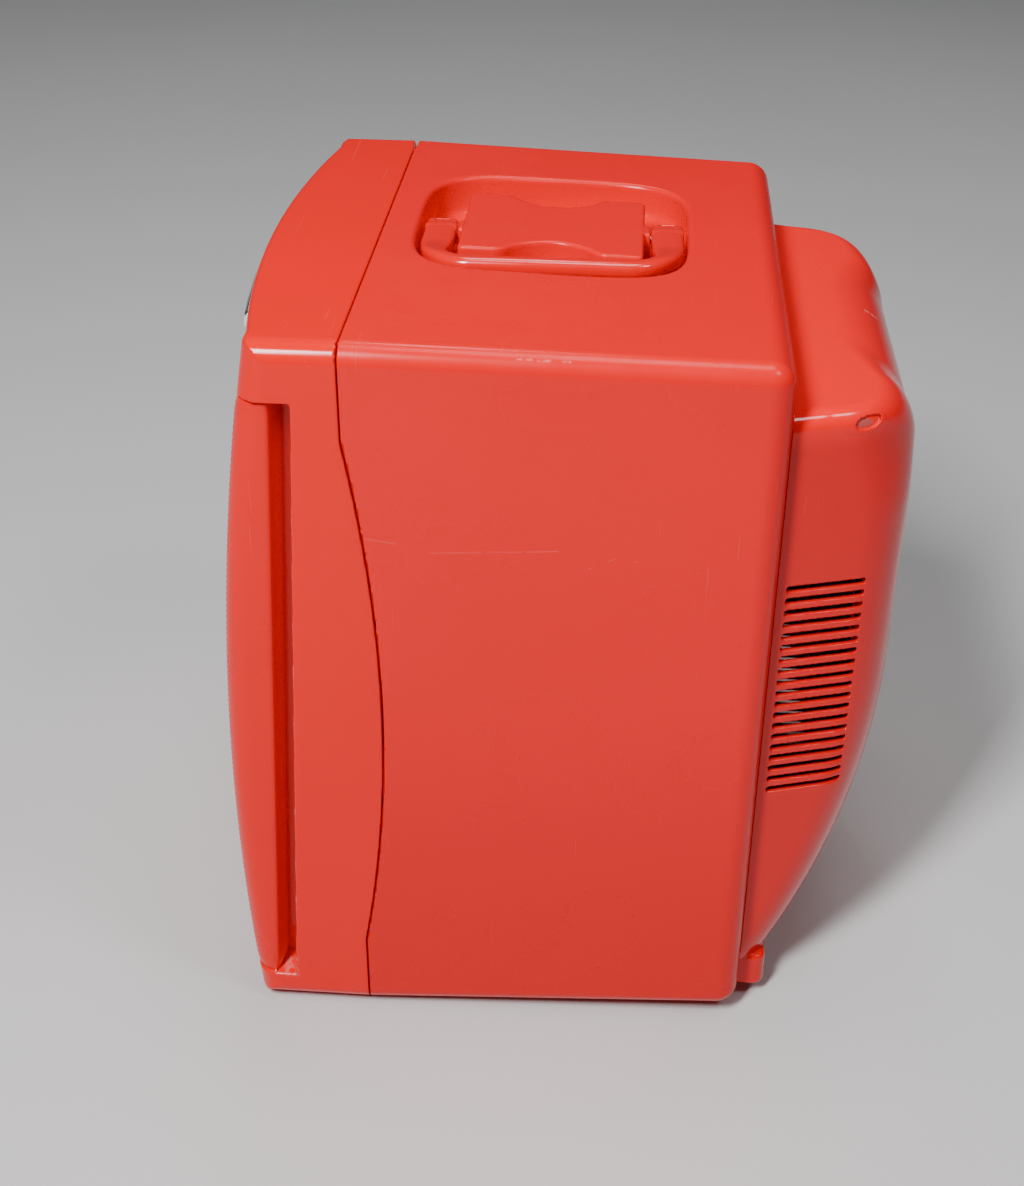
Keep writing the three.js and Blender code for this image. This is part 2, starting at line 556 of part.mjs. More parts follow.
// Half-plan of the housing at height z, mirrored into a closed loop.
function housingSection(z, inset, front, foot = false) {
  const curl = (round) => {
    const above = Math.max(0, z + inset - (HOUSING.top - round));
    return Math.min(round - Math.sqrt(Math.max(0, round ** 2 - above ** 2)), round * 0.8);
  };
  const back = (foot ? HOUSING.footBack : housingBackY(z)) - inset - curl(HOUSING.backRound);
  const base = HOUSING.halfWidth - inset - curl(HOUSING.sideRound) - (foot ? 3 : 0);
  const tilt = Math.atan(HOUSING.taper);
  const depth = back - HOUSING.front;
  const radius = Math.max(4, Math.min(HOUSING.corner, depth * 0.85));
  const corner = base - HOUSING.taper * depth;
  const centreX = corner - radius * Math.tan((Math.PI / 2 - tilt) / 2);
  const half = [at(base + HOUSING.taper * (HOUSING.front - front), front, z)];
  const steps = 5;
  for (let i = 0; i <= steps; i++) {
    const a = THREE.MathUtils.lerp(tilt, Math.PI / 2, i / steps);
    half.push(at(centreX + radius * Math.cos(a), back - radius + radius * Math.sin(a), z));
  }
  return [...half, ...half.map((p) => at(-p.x, p.y, p.z)).reverse()];
}

function housingBlock(inset, front) {
  const low = HOUSING.footBottom + inset;
  const join = HOUSING.footTop;
  const t = HOUSING.top - inset;
  const bends = [37, 29, 21, 14, 10, 7, 4.4, 2.2, 0.8, 0].map((down) => t - down);
  const levels = [join + inset, 50, 76, 104, 136, 172, HOUSING.arcStart, ...bends];
  const upper = loft(levels.map((z) => housingSection(z, inset, front)));
  const foot = loft([low, join + 1].map((z) => housingSection(z, inset, front, true)));
  if (!inset) return upper.add(foot);
  return union(upper, foot, box(-100, 100, front, HOUSING.footBack - 6, join - 4, join + 4));
}

const screwPlaces = [[-118.4, 357.2], [118.4, 357.2], [-84, 62], [84, 62]];
const counterbore = (z) => (z > 200 ? { radius: 3.9, floor: 228 } : { radius: 4.6, floor: 218 });

function rearHousing() {
  const hull = housingBlock(0, HOUSING.front);
  let housing = hull.subtract(housingBlock(HOUSING.wall, HOUSING.front - 2));
  for (const [x, z] of screwPlaces) {
    const { radius, floor } = counterbore(z);
    const boss = rod("y", [x, 0, z], radius + 2, HOUSING.front, HOUSING.back, 20);
    housing = housing.add(boss.intersect(hull));
    housing = housing.subtract(rod("y", [x, 0, z], radius, floor, HOUSING.back + 5, 20));
    housing = housing.subtract(rod("y", [x, 0, z], 2, 200, HOUSING.back, 12));
  }
  const collar = rod("y", [0, 0, FAN_Z], 52, 261.5, HOUSING.back - 0.5, 48);
  housing = housing.add(collar).subtract(rod("y", [0, 0, FAN_Z], 48.6, 254, 274, 48));
  const vents = Array.from({ length: VENT.count }, (_, i) => {
    const z = FAN_Z + (i - (VENT.count - 1) / 2) * VENT.pitch;
    return box(-130, 130, VENT.front, VENT.back, z - VENT.height / 2, z + VENT.height / 2);
  });
  return without(housing, ...vents, box(-46, 46, 259, 279, SOCKETS_Z - 20, SOCKETS_Z + 20));
}

function housingScrew([x, z]) {
  const { floor } = counterbore(z);
  return union(
    rod("y", [x, 0, z], 3.5, floor + TOUCH, floor + 2.6, 16),
    rod("y", [x, 0, z], 1.7, 192, floor + 1, 12));
}

// Grille in the middle of the housing's back: concentric rings on spokes.
function fanGuard() {
  const ring = (radius) =>
    rod("y", [0, 0, FAN_Z], radius, 264, 267, 24).subtract(rod("y", [0, 0, FAN_Z], radius - 3, 263, 268, 24));
  const spokes = [0, 1, 2].map((i) => {
    const bar = new THREE.BoxGeometry(94, 2.6, 3);
    bar.rotateY((Math.PI / 3) * i + 0.2).translate(0, 265.4, FAN_Z);
    return solid(bar);
  });
  return union(ring(48.2), ring(39), ring(29.5), ...spokes, rod("y", [0, 0, FAN_Z], 20, 264, 267, 32));
}

// Square frame with a round bore and struts that hold the motor hub.
function fanFrame({ half, bore, front, back }, hub) {
  const body = box(-half, half, front, back, FAN_Z - half, FAN_Z + half);
  const struts = [45, 135].map((deg) => {
    const bar = new THREE.BoxGeometry(bore * 2 + 2, 2, 3.4);
    bar.rotateY(THREE.MathUtils.degToRad(deg)).translate(0, front + 1.4, FAN_Z);
    return solid(bar);
  });
  return union(
    body.subtract(rod("y", [0, 0, FAN_Z], bore, front - 1, back + 1, 36)),
    ...struts, rod("y", [0, 0, FAN_Z], hub, front, front + 2.8, 28),
    rod("y", [0, 0, FAN_Z], SHAFT_RADIUS, front + 2, (front + back) / 2 + 2, 16));
}

function fanRotor({ bore, front, back }, hub, blades) {
  const length = back - front - 6;
  const middle = (front + back) / 2 + 1.4;
  let rotor = rod("y", [0, 0, FAN_Z], hub, middle - length / 2, middle + length / 2, 28);
  for (let i = 0; i < blades; i++) {
    const reach = bore - 2.4;
    const blade = new THREE.BoxGeometry(reach - hub + 3, 1.4, length);
    blade.rotateX(0.9).translate((reach + hub - 3) / 2, 0, 0).rotateY((2 * Math.PI * i) / blades);
    blade.translate(0, middle, FAN_Z);
    rotor = rotor.add(solid(blade));
  }
  return rotor.subtract(rod("y", [0, 0, FAN_Z], SHAFT_RADIUS + 0.25, front, middle + 2, 16));
}

function hotHeatsink() {
  let sink = box(-54, 54, 205.9, 211, FAN_Z - 62, FAN_Z + 62);
  for (let i = 0; i < VENT.count - 1; i++) {
    const z = FAN_Z + (i - (VENT.count - 2) / 2) * VENT.pitch;
    const half = z > 245 ? 54 : 92; // the upper fins leave room for the module's leads
    sink = sink.add(box(-half, half, 210, 233.4, z - 0.7, z + 0.7));
  }
  return sink;
}

function coldHeatsink() {
  let sink = box(-36, 36, 160, CAVITY.back - TOUCH, FAN_Z - 36, FAN_Z + 36);
  for (let i = 0; i < 9; i++) {
    const x = -32 + 8 * i;
    sink = sink.add(box(x - 0.8, x + 0.8, 150.4, 161, FAN_Z - 36, FAN_Z + 36));
  }
  return sink;
}

function innerFanCover() {
  const outer = box(-44, 44, 129, CAVITY.back - TOUCH, FAN_Z - 50, FAN_Z + 50);
  const inner = box(-41.5, 41.5, 131.5, 170, FAN_Z - 47.5, FAN_Z + 47.5);
  const grille = Array.from({ length: 7 }, (_, i) => {
    const z = FAN_Z - 24 + 8 * i;
    return box(-26, 26, 125, 135, z - 2.4, z + 2.4);
  });
  const outlets = [-1, 1].flatMap((side) => [-30, -10, 10, 30].map((x) =>
    box(x - 7, x + 7, 150, 160, FAN_Z + side * 49 - 3, FAN_Z + side * 49 + 3)));
  return without(outer.subtract(inner), ...grille, ...outlets);
}

// ---------------------------------------------------------------- sockets and switch
const AC = { x: -28, halfX: 11, halfZ: 6.5 };
const DC = { x: -2, halfX: 8, halfZ: 6.5 };
const SWITCH = { x: 24, halfX: 7, halfZ: 11, pivotY: 266.8 };
const LEDS = { cold: [39, SOCKETS_Z + 7], hot: [39, SOCKETS_Z - 7] };

function socketPlate() {
  const plate = box(-45.6, 45.6, 267, 269.7, SOCKETS_Z - 19.6, SOCKETS_Z + 19.6);
  const hole = ({ x, halfX, halfZ }) =>
    box(x - halfX - TOUCH, x + halfX + TOUCH, 264, 274, SOCKETS_Z - halfZ - TOUCH, SOCKETS_Z + halfZ + TOUCH);
  const lamps = Object.values(LEDS).map(([x, z]) => rod("y", [x, 0, z], 2.5 + TOUCH, 264, 274, 16));
  return without(plate, hole(AC), hole(DC), hole(SWITCH), ...lamps);
}

// A socket: a box with a blind recess open to the back.
function socket({ x, halfX, halfZ }, depth) {
  const body = box(x - halfX, x + halfX, 269.7 - depth - 3, 269.7, SOCKETS_Z - halfZ, SOCKETS_Z + halfZ);
  const wall = 1.6;
  return body.subtract(box(x - halfX + wall, x + halfX - wall, 269.7 - depth, 274,
    SOCKETS_Z - halfZ + wall, SOCKETS_Z + halfZ - wall));
}

function switchBody() {
  const { x, halfX, halfZ, pivotY } = SWITCH;
  const body = box(x - halfX, x + halfX, 252, 269.7, SOCKETS_Z - halfZ, SOCKETS_Z + halfZ);
  const recess = box(x - halfX + 1.3, x + halfX - 1.3, 261, 274, SOCKETS_Z - halfZ + 1.3, SOCKETS_Z + halfZ - 1.3);
  return body.subtract(recess).add(rod("x", [0, pivotY, SOCKETS_Z], 1, x - halfX + 1, x + halfX - 1, 12));
}

// Rocker with a shallow V on its face, pivoting about its own middle.
function modeSwitch() {
  const { x, halfX, halfZ, pivotY } = SWITCH;
  const reach = halfZ - 2.2;
  const profile = [[-1.7, -reach], [2.8, -reach], [1.6, 0], [2.8, reach], [-1.7, reach]];
  const rocker = loft([x - halfX + 1.8, x + halfX - 1.8].map((px) =>
    profile.map(([y, z]) => at(px, pivotY + y, SOCKETS_Z + z))));
  return rocker.subtract(rod("x", [0, pivotY, SOCKETS_Z], 1.2, x - halfX, x + halfX, 12));
}

function lead(points, radius) {
  const curve = new THREE.CatmullRomCurve3(points.map(([x, y, z]) => at(x, y, z)));
  const section = new THREE.Shape().absarc(0, 0, radius, 0, 2 * Math.PI);
  return solid(new THREE.ExtrudeGeometry(section, { steps: 18, curveSegments: 4, extrudePath: curve }));
}

// ---------------------------------------------------------------- build
piece("cabinet_shell", cabinetShell(), RED);
piece("front_frame", frontFrame(), RED);
piece("cabinet_foam", cabinetFoam(), FOAM);
piece("inner_liner", innerLiner(), WHITE);

const shelfRods = [];
for (let x = -99; x <= 99; x += 18) shelfRods.push(box(x - 1.2, x + 1.2, 52, 124, 182, 184.4));
for (const y of [56, 117.6]) shelfRods.push(box(-111, 111, y, y + 2.4, 180 + TOUCH, 182.4));
piece("wire_shelf", union(...shelfRods), WHITE);

for (const [place, z] of Object.entries(HINGE_Z)) {
  piece("hinge_bracket_" + place, hingeBracket(z), RED);
  const reach = HINGE_BARREL_LENGTH / 2 + 9;
  piece("hinge_pin_" + place, rod("z", [HINGE_X, HINGE_Y, 0], PIN_RADIUS, z - reach, z + reach, 20), STEEL);
}
["front_left", "front_right", "rear_left", "rear_right"].forEach((name, i) =>
  piece("foot_" + name, foot(footPlaces[i]), RUBBER));

piece("carry_handle", carryHandle(), RED);
const pinOut = HANDLE.legY + 7;
piece("handle_pin_front",
  rod("y", [HANDLE.x, 0, HANDLE.z], PIN_RADIUS, HANDLE.y - pinOut, HANDLE.y - ISLAND.halfY + 2, 16), STEEL);
piece("handle_pin_rear",
  rod("y", [HANDLE.x, 0, HANDLE.z], PIN_RADIUS, HANDLE.y + ISLAND.halfY - 2, HANDLE.y + pinOut, 16), STEEL);

piece("door_shell", doorShell(), RED);
piece("front_panel", frontPanel(), RED_TEXTURED);
piece("door_foam", doorFoam(), FOAM);
piece("door_liner", doorLiner(), WHITE);
piece("door_gasket", doorGasket(), GREY_RUBBER);
piece("door_rack_lower", doorRack(RACK_HEIGHTS[0]), WHITE);
piece("door_rack_upper", doorRack(RACK_HEIGHTS[1]), WHITE);
piece("header_badge", headerBadge(), CHROME);

piece("rear_housing", rearHousing(), RED);
piece("rear_fan_guard", fanGuard(), RED);
piece("rear_fan_frame", fanFrame(REAR_FAN, 19), BLACK);
piece("rear_fan_rotor", fanRotor(REAR_FAN, 18, 7), BLACK);
piece("hot_heatsink", hotHeatsink(), ALUMINIUM);
piece("peltier_module", box(-20, 20, 201.9, 205.6, FAN_Z - 20, FAN_Z + 20), CERAMIC);
piece("cold_block", box(-20, 20, CAVITY.back, 201.6, FAN_Z - 20, FAN_Z + 20), ALUMINIUM);
piece("cold_heatsink", coldHeatsink(), ALUMINIUM);
piece("inner_fan_frame", fanFrame(INNER_FAN, 12), BLACK);
piece("inner_fan_rotor", fanRotor(INNER_FAN, 11, 7), BLACK);
piece("inner_fan_cover", innerFanCover(), WHITE);

piece("power_board", box(-62, 62, 214, 215.6, 276, 336), GREEN_BOARD);
piece("transformer", box(-50, -16, 215.9, 240, 290, 322), YELLOW_TAPE);
piece("board_capacitor", rod("y", [40, 0, 318], 8, 215.9, 236, 20), BLACK);
["upper_left", "upper_right", "lower_left", "lower_right"].forEach((name, i) =>
  piece("housing_screw_" + name, housingScrew(screwPlaces[i]), STEEL));
["left", "right"].forEach((name, i) => {
  const [x, z] = screwPlaces[i];
  piece("screw_cap_" + name, rod("y", [x, 0, z], 3.6, 231.4, 234, 20), RED);
});

piece("socket_plate", socketPlate(), BLACK);
piece("ac_inlet", socket(AC, 11), BLACK);
[-1, 1].forEach((side) => piece("ac_pin_" + (side < 0 ? "left" : "right"),
  rod("y", [AC.x + side * 4.3, 0, SOCKETS_Z], 1.2, 259, 267, 12), STEEL));
piece("dc_inlet", socket(DC, 9), BLACK);
piece("switch_body", switchBody(), BLACK);
piece("mode_switch", modeSwitch(), BLACK);
const lamp = ([x, z]) => rod("y", [x, 0, z], 2.5, 262, 269.9, 16);
piece("led_cold", lamp(LEDS.cold), GREEN_LENS);
piece("led_hot", lamp(LEDS.hot), RED_LENS);

const leadStart = 213.2;
piece("peltier_lead_red",
  lead([[-58, leadStart, 250], [-66, 214, 262], [-70, 216, 276], [-68, 220, 288], [-58, 220, 296]], 1), RED_WIRE);
piece("peltier_lead_black",
  lead([[58, leadStart, 250], [66, 214, 262], [70, 216, 276], [68, 220, 288], [60, 220, 296]], 1), RUBBER);

// Seat the assembly on the floor with its footprint centred.
assembly.position.set(0, (DOOR_MAX_DEPTH - HOUSING.back) / 2, FOOT_HEIGHT);
const part = new THREE.Group();
part.add(assembly);
export default part;
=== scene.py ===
"""Looks for a portable thermoelectric cooler fridge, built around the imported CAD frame."""

import json
import math

import bmesh
import bpy
import numpy as np
from mathutils import Matrix, Vector


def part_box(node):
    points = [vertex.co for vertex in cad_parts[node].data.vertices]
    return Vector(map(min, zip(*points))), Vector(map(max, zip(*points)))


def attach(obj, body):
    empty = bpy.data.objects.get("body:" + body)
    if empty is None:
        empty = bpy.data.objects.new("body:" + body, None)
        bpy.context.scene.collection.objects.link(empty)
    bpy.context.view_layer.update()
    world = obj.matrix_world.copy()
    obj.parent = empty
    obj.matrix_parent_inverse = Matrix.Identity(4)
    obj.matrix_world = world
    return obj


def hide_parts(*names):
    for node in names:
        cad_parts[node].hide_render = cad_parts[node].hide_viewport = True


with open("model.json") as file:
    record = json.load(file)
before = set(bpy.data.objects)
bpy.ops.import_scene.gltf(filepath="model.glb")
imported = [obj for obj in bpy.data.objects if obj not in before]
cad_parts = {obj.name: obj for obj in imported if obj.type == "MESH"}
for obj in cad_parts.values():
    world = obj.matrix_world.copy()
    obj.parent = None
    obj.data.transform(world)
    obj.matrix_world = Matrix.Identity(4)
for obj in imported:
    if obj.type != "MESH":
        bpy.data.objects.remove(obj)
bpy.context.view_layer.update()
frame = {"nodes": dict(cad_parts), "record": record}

# ------------------------------------------------------------------ the design frame
# Shapes below are worked out in millimetres with y = 0 at the door's seam and z = 0 at the
# cabinet's underside, as in the CAD source; the CAD boxes say where that frame lies.
DEPTH = 205.3
HALF = 152.6
HIGH = 400.0
DRAFT = 5.85
SEAM_GAP = {"hinge": 0.9, "elsewhere": 0.28}
_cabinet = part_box("cabinet_shell")
OFF_Y = _cabinet[1].y * 1000 - DEPTH
OFF_Z = _cabinet[0].z * 1000
COARSE = 1.0


def metres(points):
    """Points of the design frame, in the row's frame and in metres."""
    out = np.array(points, float)
    out[:, 1] += OFF_Y
    out[:, 2] += OFF_Z
    return out / 1000


def spot(x, y, z):
    return Vector(metres([(x, y, z)])[0])


# ------------------------------------------------------------------ meshes from distance fields
CORNERS = [(i, j, k) for i in (0, 1) for j in (0, 1) for k in (0, 1)]
EDGES = [(a, b) for a in range(8) for b in range(a + 1, 8)
         if sum(abs(p - q) for p, q in zip(CORNERS[a], CORNERS[b])) == 1]


def surface_net(field, low, high, step):
    """Quads over the zero level of a distance field, one vertex in each cell that it crosses."""
    axes = [np.arange(low[k], high[k] + step, step, dtype=np.float32) for k in range(3)]
    shape = tuple(len(a) for a in axes)
    grid = axes[0][:, None, None], axes[1][None, :, None], axes[2][None, None, :]
    values = np.broadcast_to(field(*grid), shape).astype(np.float32)
    solid = values < 0
    count = np.zeros(tuple(n - 1 for n in shape), np.uint8)
    for i, j, k in CORNERS:
        count += solid[i:shape[0] - 1 + i, j:shape[1] - 1 + j, k:shape[2] - 1 + k]
    active = (count > 0) & (count < 8)
    cells = np.argwhere(active)
    number = np.full(active.shape, -1, np.int32)
    number[active] = np.arange(len(cells))
    at_corner = np.stack([values[cells[:, 0] + i, cells[:, 1] + j, cells[:, 2] + k]
                          for i, j, k in CORNERS], 1)
    total = np.zeros((len(cells), 3))
    hits = np.zeros(len(cells))
    for a, b in EDGES:
        va, vb = at_corner[:, a], at_corner[:, b]
        crossed = (va < 0) != (vb < 0)
        t = np.where(crossed, va / np.where(crossed, va - vb, 1), 0)[:, None]
        point = np.array(CORNERS[a]) + t * (np.array(CORNERS[b]) - np.array(CORNERS[a]))
        total += point * crossed[:, None]
        hits += crossed
    points = (total / hits[:, None] + cells) * step + np.array(low)
    quads = []
    for axis in range(3):
        u, v = (axis + 1) % 3, (axis + 2) % 3
        here = [slice(1, -1)] * 3
        there = [slice(1, -1)] * 3
        here[axis], there[axis] = slice(0, -1), slice(1, None)
        first, second = solid[tuple(here)], solid[tuple(there)]
        cut = np.argwhere(first != second)
        outward = first[tuple(cut.T)]
        cut[:, u] += 1
        cut[:, v] += 1
        ring = []
        for du, dv in ((-1, -1), (0, -1), (0, 0), (-1, 0)):
            cell = cut.copy()
            cell[:, u] += du
            cell[:, v] += dv
            ring.append(number[tuple(cell.T)])
        ring = np.stack(ring, 1)
        ring[~outward] = ring[~outward][:, ::-1]
        quads.append(ring)
    return points, np.concatenate(quads)


def slope(field, points, reach=0.05):
    parts = []
    for axis in range(3):
        shift = np.zeros(3)
        shift[axis] = reach
        ahead, behind = (points + shift).T, (points - shift).T
        parts.append((field(*ahead) - field(*behind)) / (2 * reach))
    return np.stack(parts, 1)


NORMAL_REACH = 0.35  # how far to each side a normal is measured, which rounds the finest edges
WEAR_REACH = 2.5     # how far off the surface the wear mask looks for an edge
WEAR_FULL = 2.2      # the bend over that reach at which the mask is full


def field_piece(name, field, low, high, step, keep=1.0):
    """A smooth piece from a distance field, with the field's own normals and a wear mask."""
    step *= COARSE
    points, quads = surface_net(field, low, high, step)
    for _ in range(2):
        grade = slope(field, points)
        steep = np.maximum((grade ** 2).sum(1, keepdims=True), 0.05)
        move = field(*points.T)[:, None] * grade / steep
        points = points - np.clip(move, -0.4 * step, 0.4 * step)
    mesh = bpy.data.meshes.new(name)
    mesh.from_pydata(points.tolist(), [], quads.tolist())
    piece = bpy.data.objects.new(name, mesh)
    bpy.context.scene.collection.objects.link(piece)
    if keep < 1:
        thin = piece.modifiers.new("thin", "DECIMATE")
        thin.ratio = keep
        bake_modifiers(piece)
        mesh = piece.data
    corner = np.zeros(len(mesh.vertices) * 3)
    mesh.vertices.foreach_get("co", corner)
    points = corner.reshape(-1, 3)
    grade = slope(field, points, NORMAL_REACH)
    normal = grade / np.maximum(np.linalg.norm(grade, axis=1, keepdims=True), 1e-6)
    outside = field(*(points + normal * WEAR_REACH).T)
    inside = field(*(points - normal * WEAR_REACH).T)
    edge = np.clip(-(outside + inside) / WEAR_FULL, 0, 1)
    add_mask(mesh, "wear", edge)
    mesh.vertices.foreach_set("co", metres(points).ravel())
    mesh.polygons.foreach_set("use_smooth", np.ones(len(mesh.polygons), bool))
    mesh.normals_split_custom_set_from_vertices(normal.tolist())
    mesh.update()
    return piece


def add_mask(mesh, name, values):
    layer = mesh.attributes.new(name, "FLOAT", "POINT")
    layer.data.foreach_set("value", np.asarray(values, np.float32))


def bake_modifiers(piece):
    """Replaces the piece's mesh by its mesh with the modifiers applied."""
    graph = bpy.context.evaluated_depsgraph_get()
    made = bpy.data.meshes.new_from_object(piece.evaluated_get(graph))
    piece.modifiers.clear()
    old, piece.data = piece.data, made
    made.name = piece.name
    bpy.data.meshes.remove(old)


def both(a, b, r=0.0):
    """Where both solids are, with the edge between them rounded by r."""
    if np.ndim(r) == 0 and r <= 0:
        return np.maximum(a, b)
    return np.minimum(np.maximum(a, b), -r) + np.hypot(np.maximum(a + r, 0), np.maximum(b + r, 0))


def either(a, b, r=0.0):
    """Where either solid is, with the inner corner between them filled by r."""
    return -both(-a, -b, r)


def slab(v, low, high):
    return np.maximum(low - v, v - high)


def block(x, y, z, x0, x1, y0, y1, z0, z1, r=0.0):
    return both(both(slab(x, x0, x1), slab(y, y0, y1), r), slab(z, z0, z1), r)


# ------------------------------------------------------------------ shared surfaces
LONG_EDGE = 10       # rounding of the edges that run from front to back
REAR_EDGE = 11.5     # rounding of the cabinet's rear edges
SEAM_EDGE = 0.35     # rounding of the two edges that meet at the seam
SEAM_BOW = {"deep": 14, "half_height": 153}
FRONT = {"y": 80, "bow": 12, "bow_half": 132, "fullest_z": 130, "fall": 2976}
GROOVE = {"low": 18, "high": 371, "y": -40.8, "rise": 18.8, "core_half": 132.6}
HINGE = {"x": -145.2, "y": 28.5, "heights": (135, 265), "half": 11, "barrel": 5.6, "bore": 2.2}


def seam_y(z):
    across = (z - HIGH / 2) / SEAM_BOW["half_height"]
    return SEAM_BOW["deep"] * np.maximum(0, 1 - across ** 2)


def seam_gap(x):
    """Half the gap between door and cabinet: wider by the hinge, where the door's edge swings back."""
    near = np.clip((-132 - x) / 10, 0, 1)
    return SEAM_GAP["elsewhere"] + (SEAM_GAP["hinge"] - SEAM_GAP["elsewhere"]) * near


def front_depth(z):
    """How far the door's side edges stand before the seam plane."""
    return FRONT["y"] - FRONT["bow"] - (z - FRONT["fullest_z"]) ** 2 / FRONT["fall"]


def front_bow(x):
    """How much further the door's front stands out at x than at its side edges."""
    return FRONT["bow"] * (1 - np.minimum(1, np.abs(x) / FRONT["bow_half"]) ** 2)


def groove_y(z):
    """The rear wall of the grip groove, which leans back with height."""
    share = (z - GROOVE["low"]) * GROOVE["rise"] / (GROOVE["high"] - GROOVE["low"])
    return GROOVE["y"] + share


# ------------------------------------------------------------------ cabinet
WELL = {"x": -20, "y": 87.6, "floor": 377.5, "half_x": 69, "half_y": 69.7, "power": 4.2}
ISLAND = {"half_x": 40.5, "half_y": 47.2, "scoop": 28, "scoop_at": 54.5, "below_top": 0.2}
BOSS = {"half_x": 6, "from_y": 40, "to_y": 50.5, "top": 395.4}


def well_outline(x, y):
    """A rounded oblong, negative inside the handle well."""
    across = np.abs((x - WELL["x"]) / WELL["half_x"]) ** WELL["power"]
    along = np.abs((y - WELL["y"]) / WELL["half_y"]) ** WELL["power"]
    return ((across + along) ** (1 / WELL["power"]) - 1) * WELL["half_x"]


def well_island(x, y, z):
    """The block in the well, scooped on both sides for fingers, with the handle's two bosses."""
    u, v = x - WELL["x"], y - WELL["y"]
    top = HIGH - DRAFT * y / DEPTH - ISLAND["below_top"]
    half_x, half_y = ISLAND["half_x"], ISLAND["half_y"]
    island = both(slab(u, -half_x, half_x), slab(v, -half_y, half_y), 3)
    for side in (-1, 1):
        scoop = ISLAND["scoop"] - np.hypot(u - side * ISLAND["scoop_at"], v)
        island = both(island, scoop, 4)
    island = both(island, z - top, 1.6)
    for side in (-1, 1):
        ends = sorted((side * BOSS["from_y"], side * BOSS["to_y"]))
        boss = both(slab(u, -BOSS["half_x"], BOSS["half_x"]), slab(v, *ends), 1)
        island = either(island, both(boss, z - BOSS["top"], 1.4), 1)
    return island


def cabinet_field(x, y, z):
    lean = DRAFT * y / DEPTH
    sides = np.abs(x) - (HALF - lean)
    ends = np.abs(z - HIGH / 2) - (HIGH / 2 - lean)
    shell = both(both(sides, ends, LONG_EDGE), y - DEPTH, REAR_EDGE)
    shell = both(shell, seam_y(z) + seam_gap(x) - y, SEAM_EDGE)
    pocket = both(both(slab(x, -146.25, 146.25), slab(z, 6.25, 393.75), 6.6), y - 14.3)
    cavity = both(both(slab(x, -116.4, 116.4), slab(z, 33.6, 354.4)), y - 166.4)
    shell = both(shell, -pocket, 0.5)
    shell = both(shell, -cavity)
    well = both(well_outline(x, y), WELL["floor"] - z, 5)
    shell = both(shell, -well, 2.6)
    shell = either(shell, both(well_island(x, y, z), WELL["floor"] - 1.5 - z), 2.5)
    for low in HINGE["heights"]:
        notch = block(x, y, z, -170, -136.2, -5, 37.5, low - 12, low + 12, 1.5)
        shell = both(shell, -notch, 0.6)
        shell = both(shell, -block(x, y, z, -151.3, -127.7, 16.1, 40.3, low - 23.3, low + 23.3))
    return shell


# ------------------------------------------------------------------ door
def hinge_arm(x, y, z, height):
    """The door's arm at one hinge, with the barrel that turns on the pin."""
    low, high = height - HINGE["half"], height + HINGE["half"]
    from_axis = np.hypot(x - HINGE["x"], y - HINGE["y"])
    barrel = both(from_axis - HINGE["barrel"], slab(z, low, high), 0.6)
    arm = block(x, y, z, -150.8, -143.6, 4, HINGE["y"], low, high, 0.8)
    root = block(x, y, z, -151.6, -143.6, 2, 8.5, low, high, 0.8)
    return both(either(barrel, either(arm, root), 1), HINGE["bore"] - from_axis)


def door_field(x, y, z):
    sides = np.abs(x) - HALF
    ends = np.abs(z - HIGH / 2) - HIGH / 2
    face = -y - (front_depth(z) + front_bow(x))
    outer = np.maximum(both(both(sides, face, 13), ends, 3.2), both(sides, ends, LONG_EDGE))
    outer = both(outer, y - (seam_y(z) - seam_gap(x)), SEAM_EDGE)
    zone = both(slab(z, GROOVE["low"], GROOVE["high"]), y - groove_y(z), 0.8)
    core = both(both(np.abs(x) - GROOVE["core_half"], face + 6, 6), outer + 5)
    door = either(both(outer, -zone, 0.8), core)
    back = both(both(slab(x, -149.4, 149.4), slab(z, 3.4, 396.6), 7), slab(y, -11.9, 60), 2)
    door = both(door, -back, 0.4)
    for height in HINGE["heights"]:
        door = either(door, hinge_arm(x, y, z, height))
    return door


def panel_outline(z, inset):
    """Half of the front panel's section at height z, from the middle to the groove's lip."""
    groove, front = groove_y(z), -front_depth(z)
    side = HALF - 2.2 - inset
    turn = 12 - inset
    channel = groove - 8 - inset
    points = [(x, front - front_bow(x) + inset) for x in np.linspace(0, side - turn, 26)]
    arc = np.linspace(math.pi / 2, 0, 12)[1:]
    points += [(side - turn + turn * math.cos(a), front + inset + turn - turn * math.sin(a)) for a in arc]
    low, high = points[-1][1], channel - 4.6 + inset
    points += [(side, low + (high - low) * t) for t in (0.2, 0.4, 0.6, 0.8)]
    curl = [(0, -4.4), (-0.25, -3.4), (-1.1, -2.6), (-2.6, -1.9), (-4.8, -1.3), (-8, -0.8), (-12, -0.3)]
    points += [(side + dx, channel + dy + inset * 0.4) for dx, dy in curl]
    points.append((132.95 + inset * 0.1, channel))
    return points


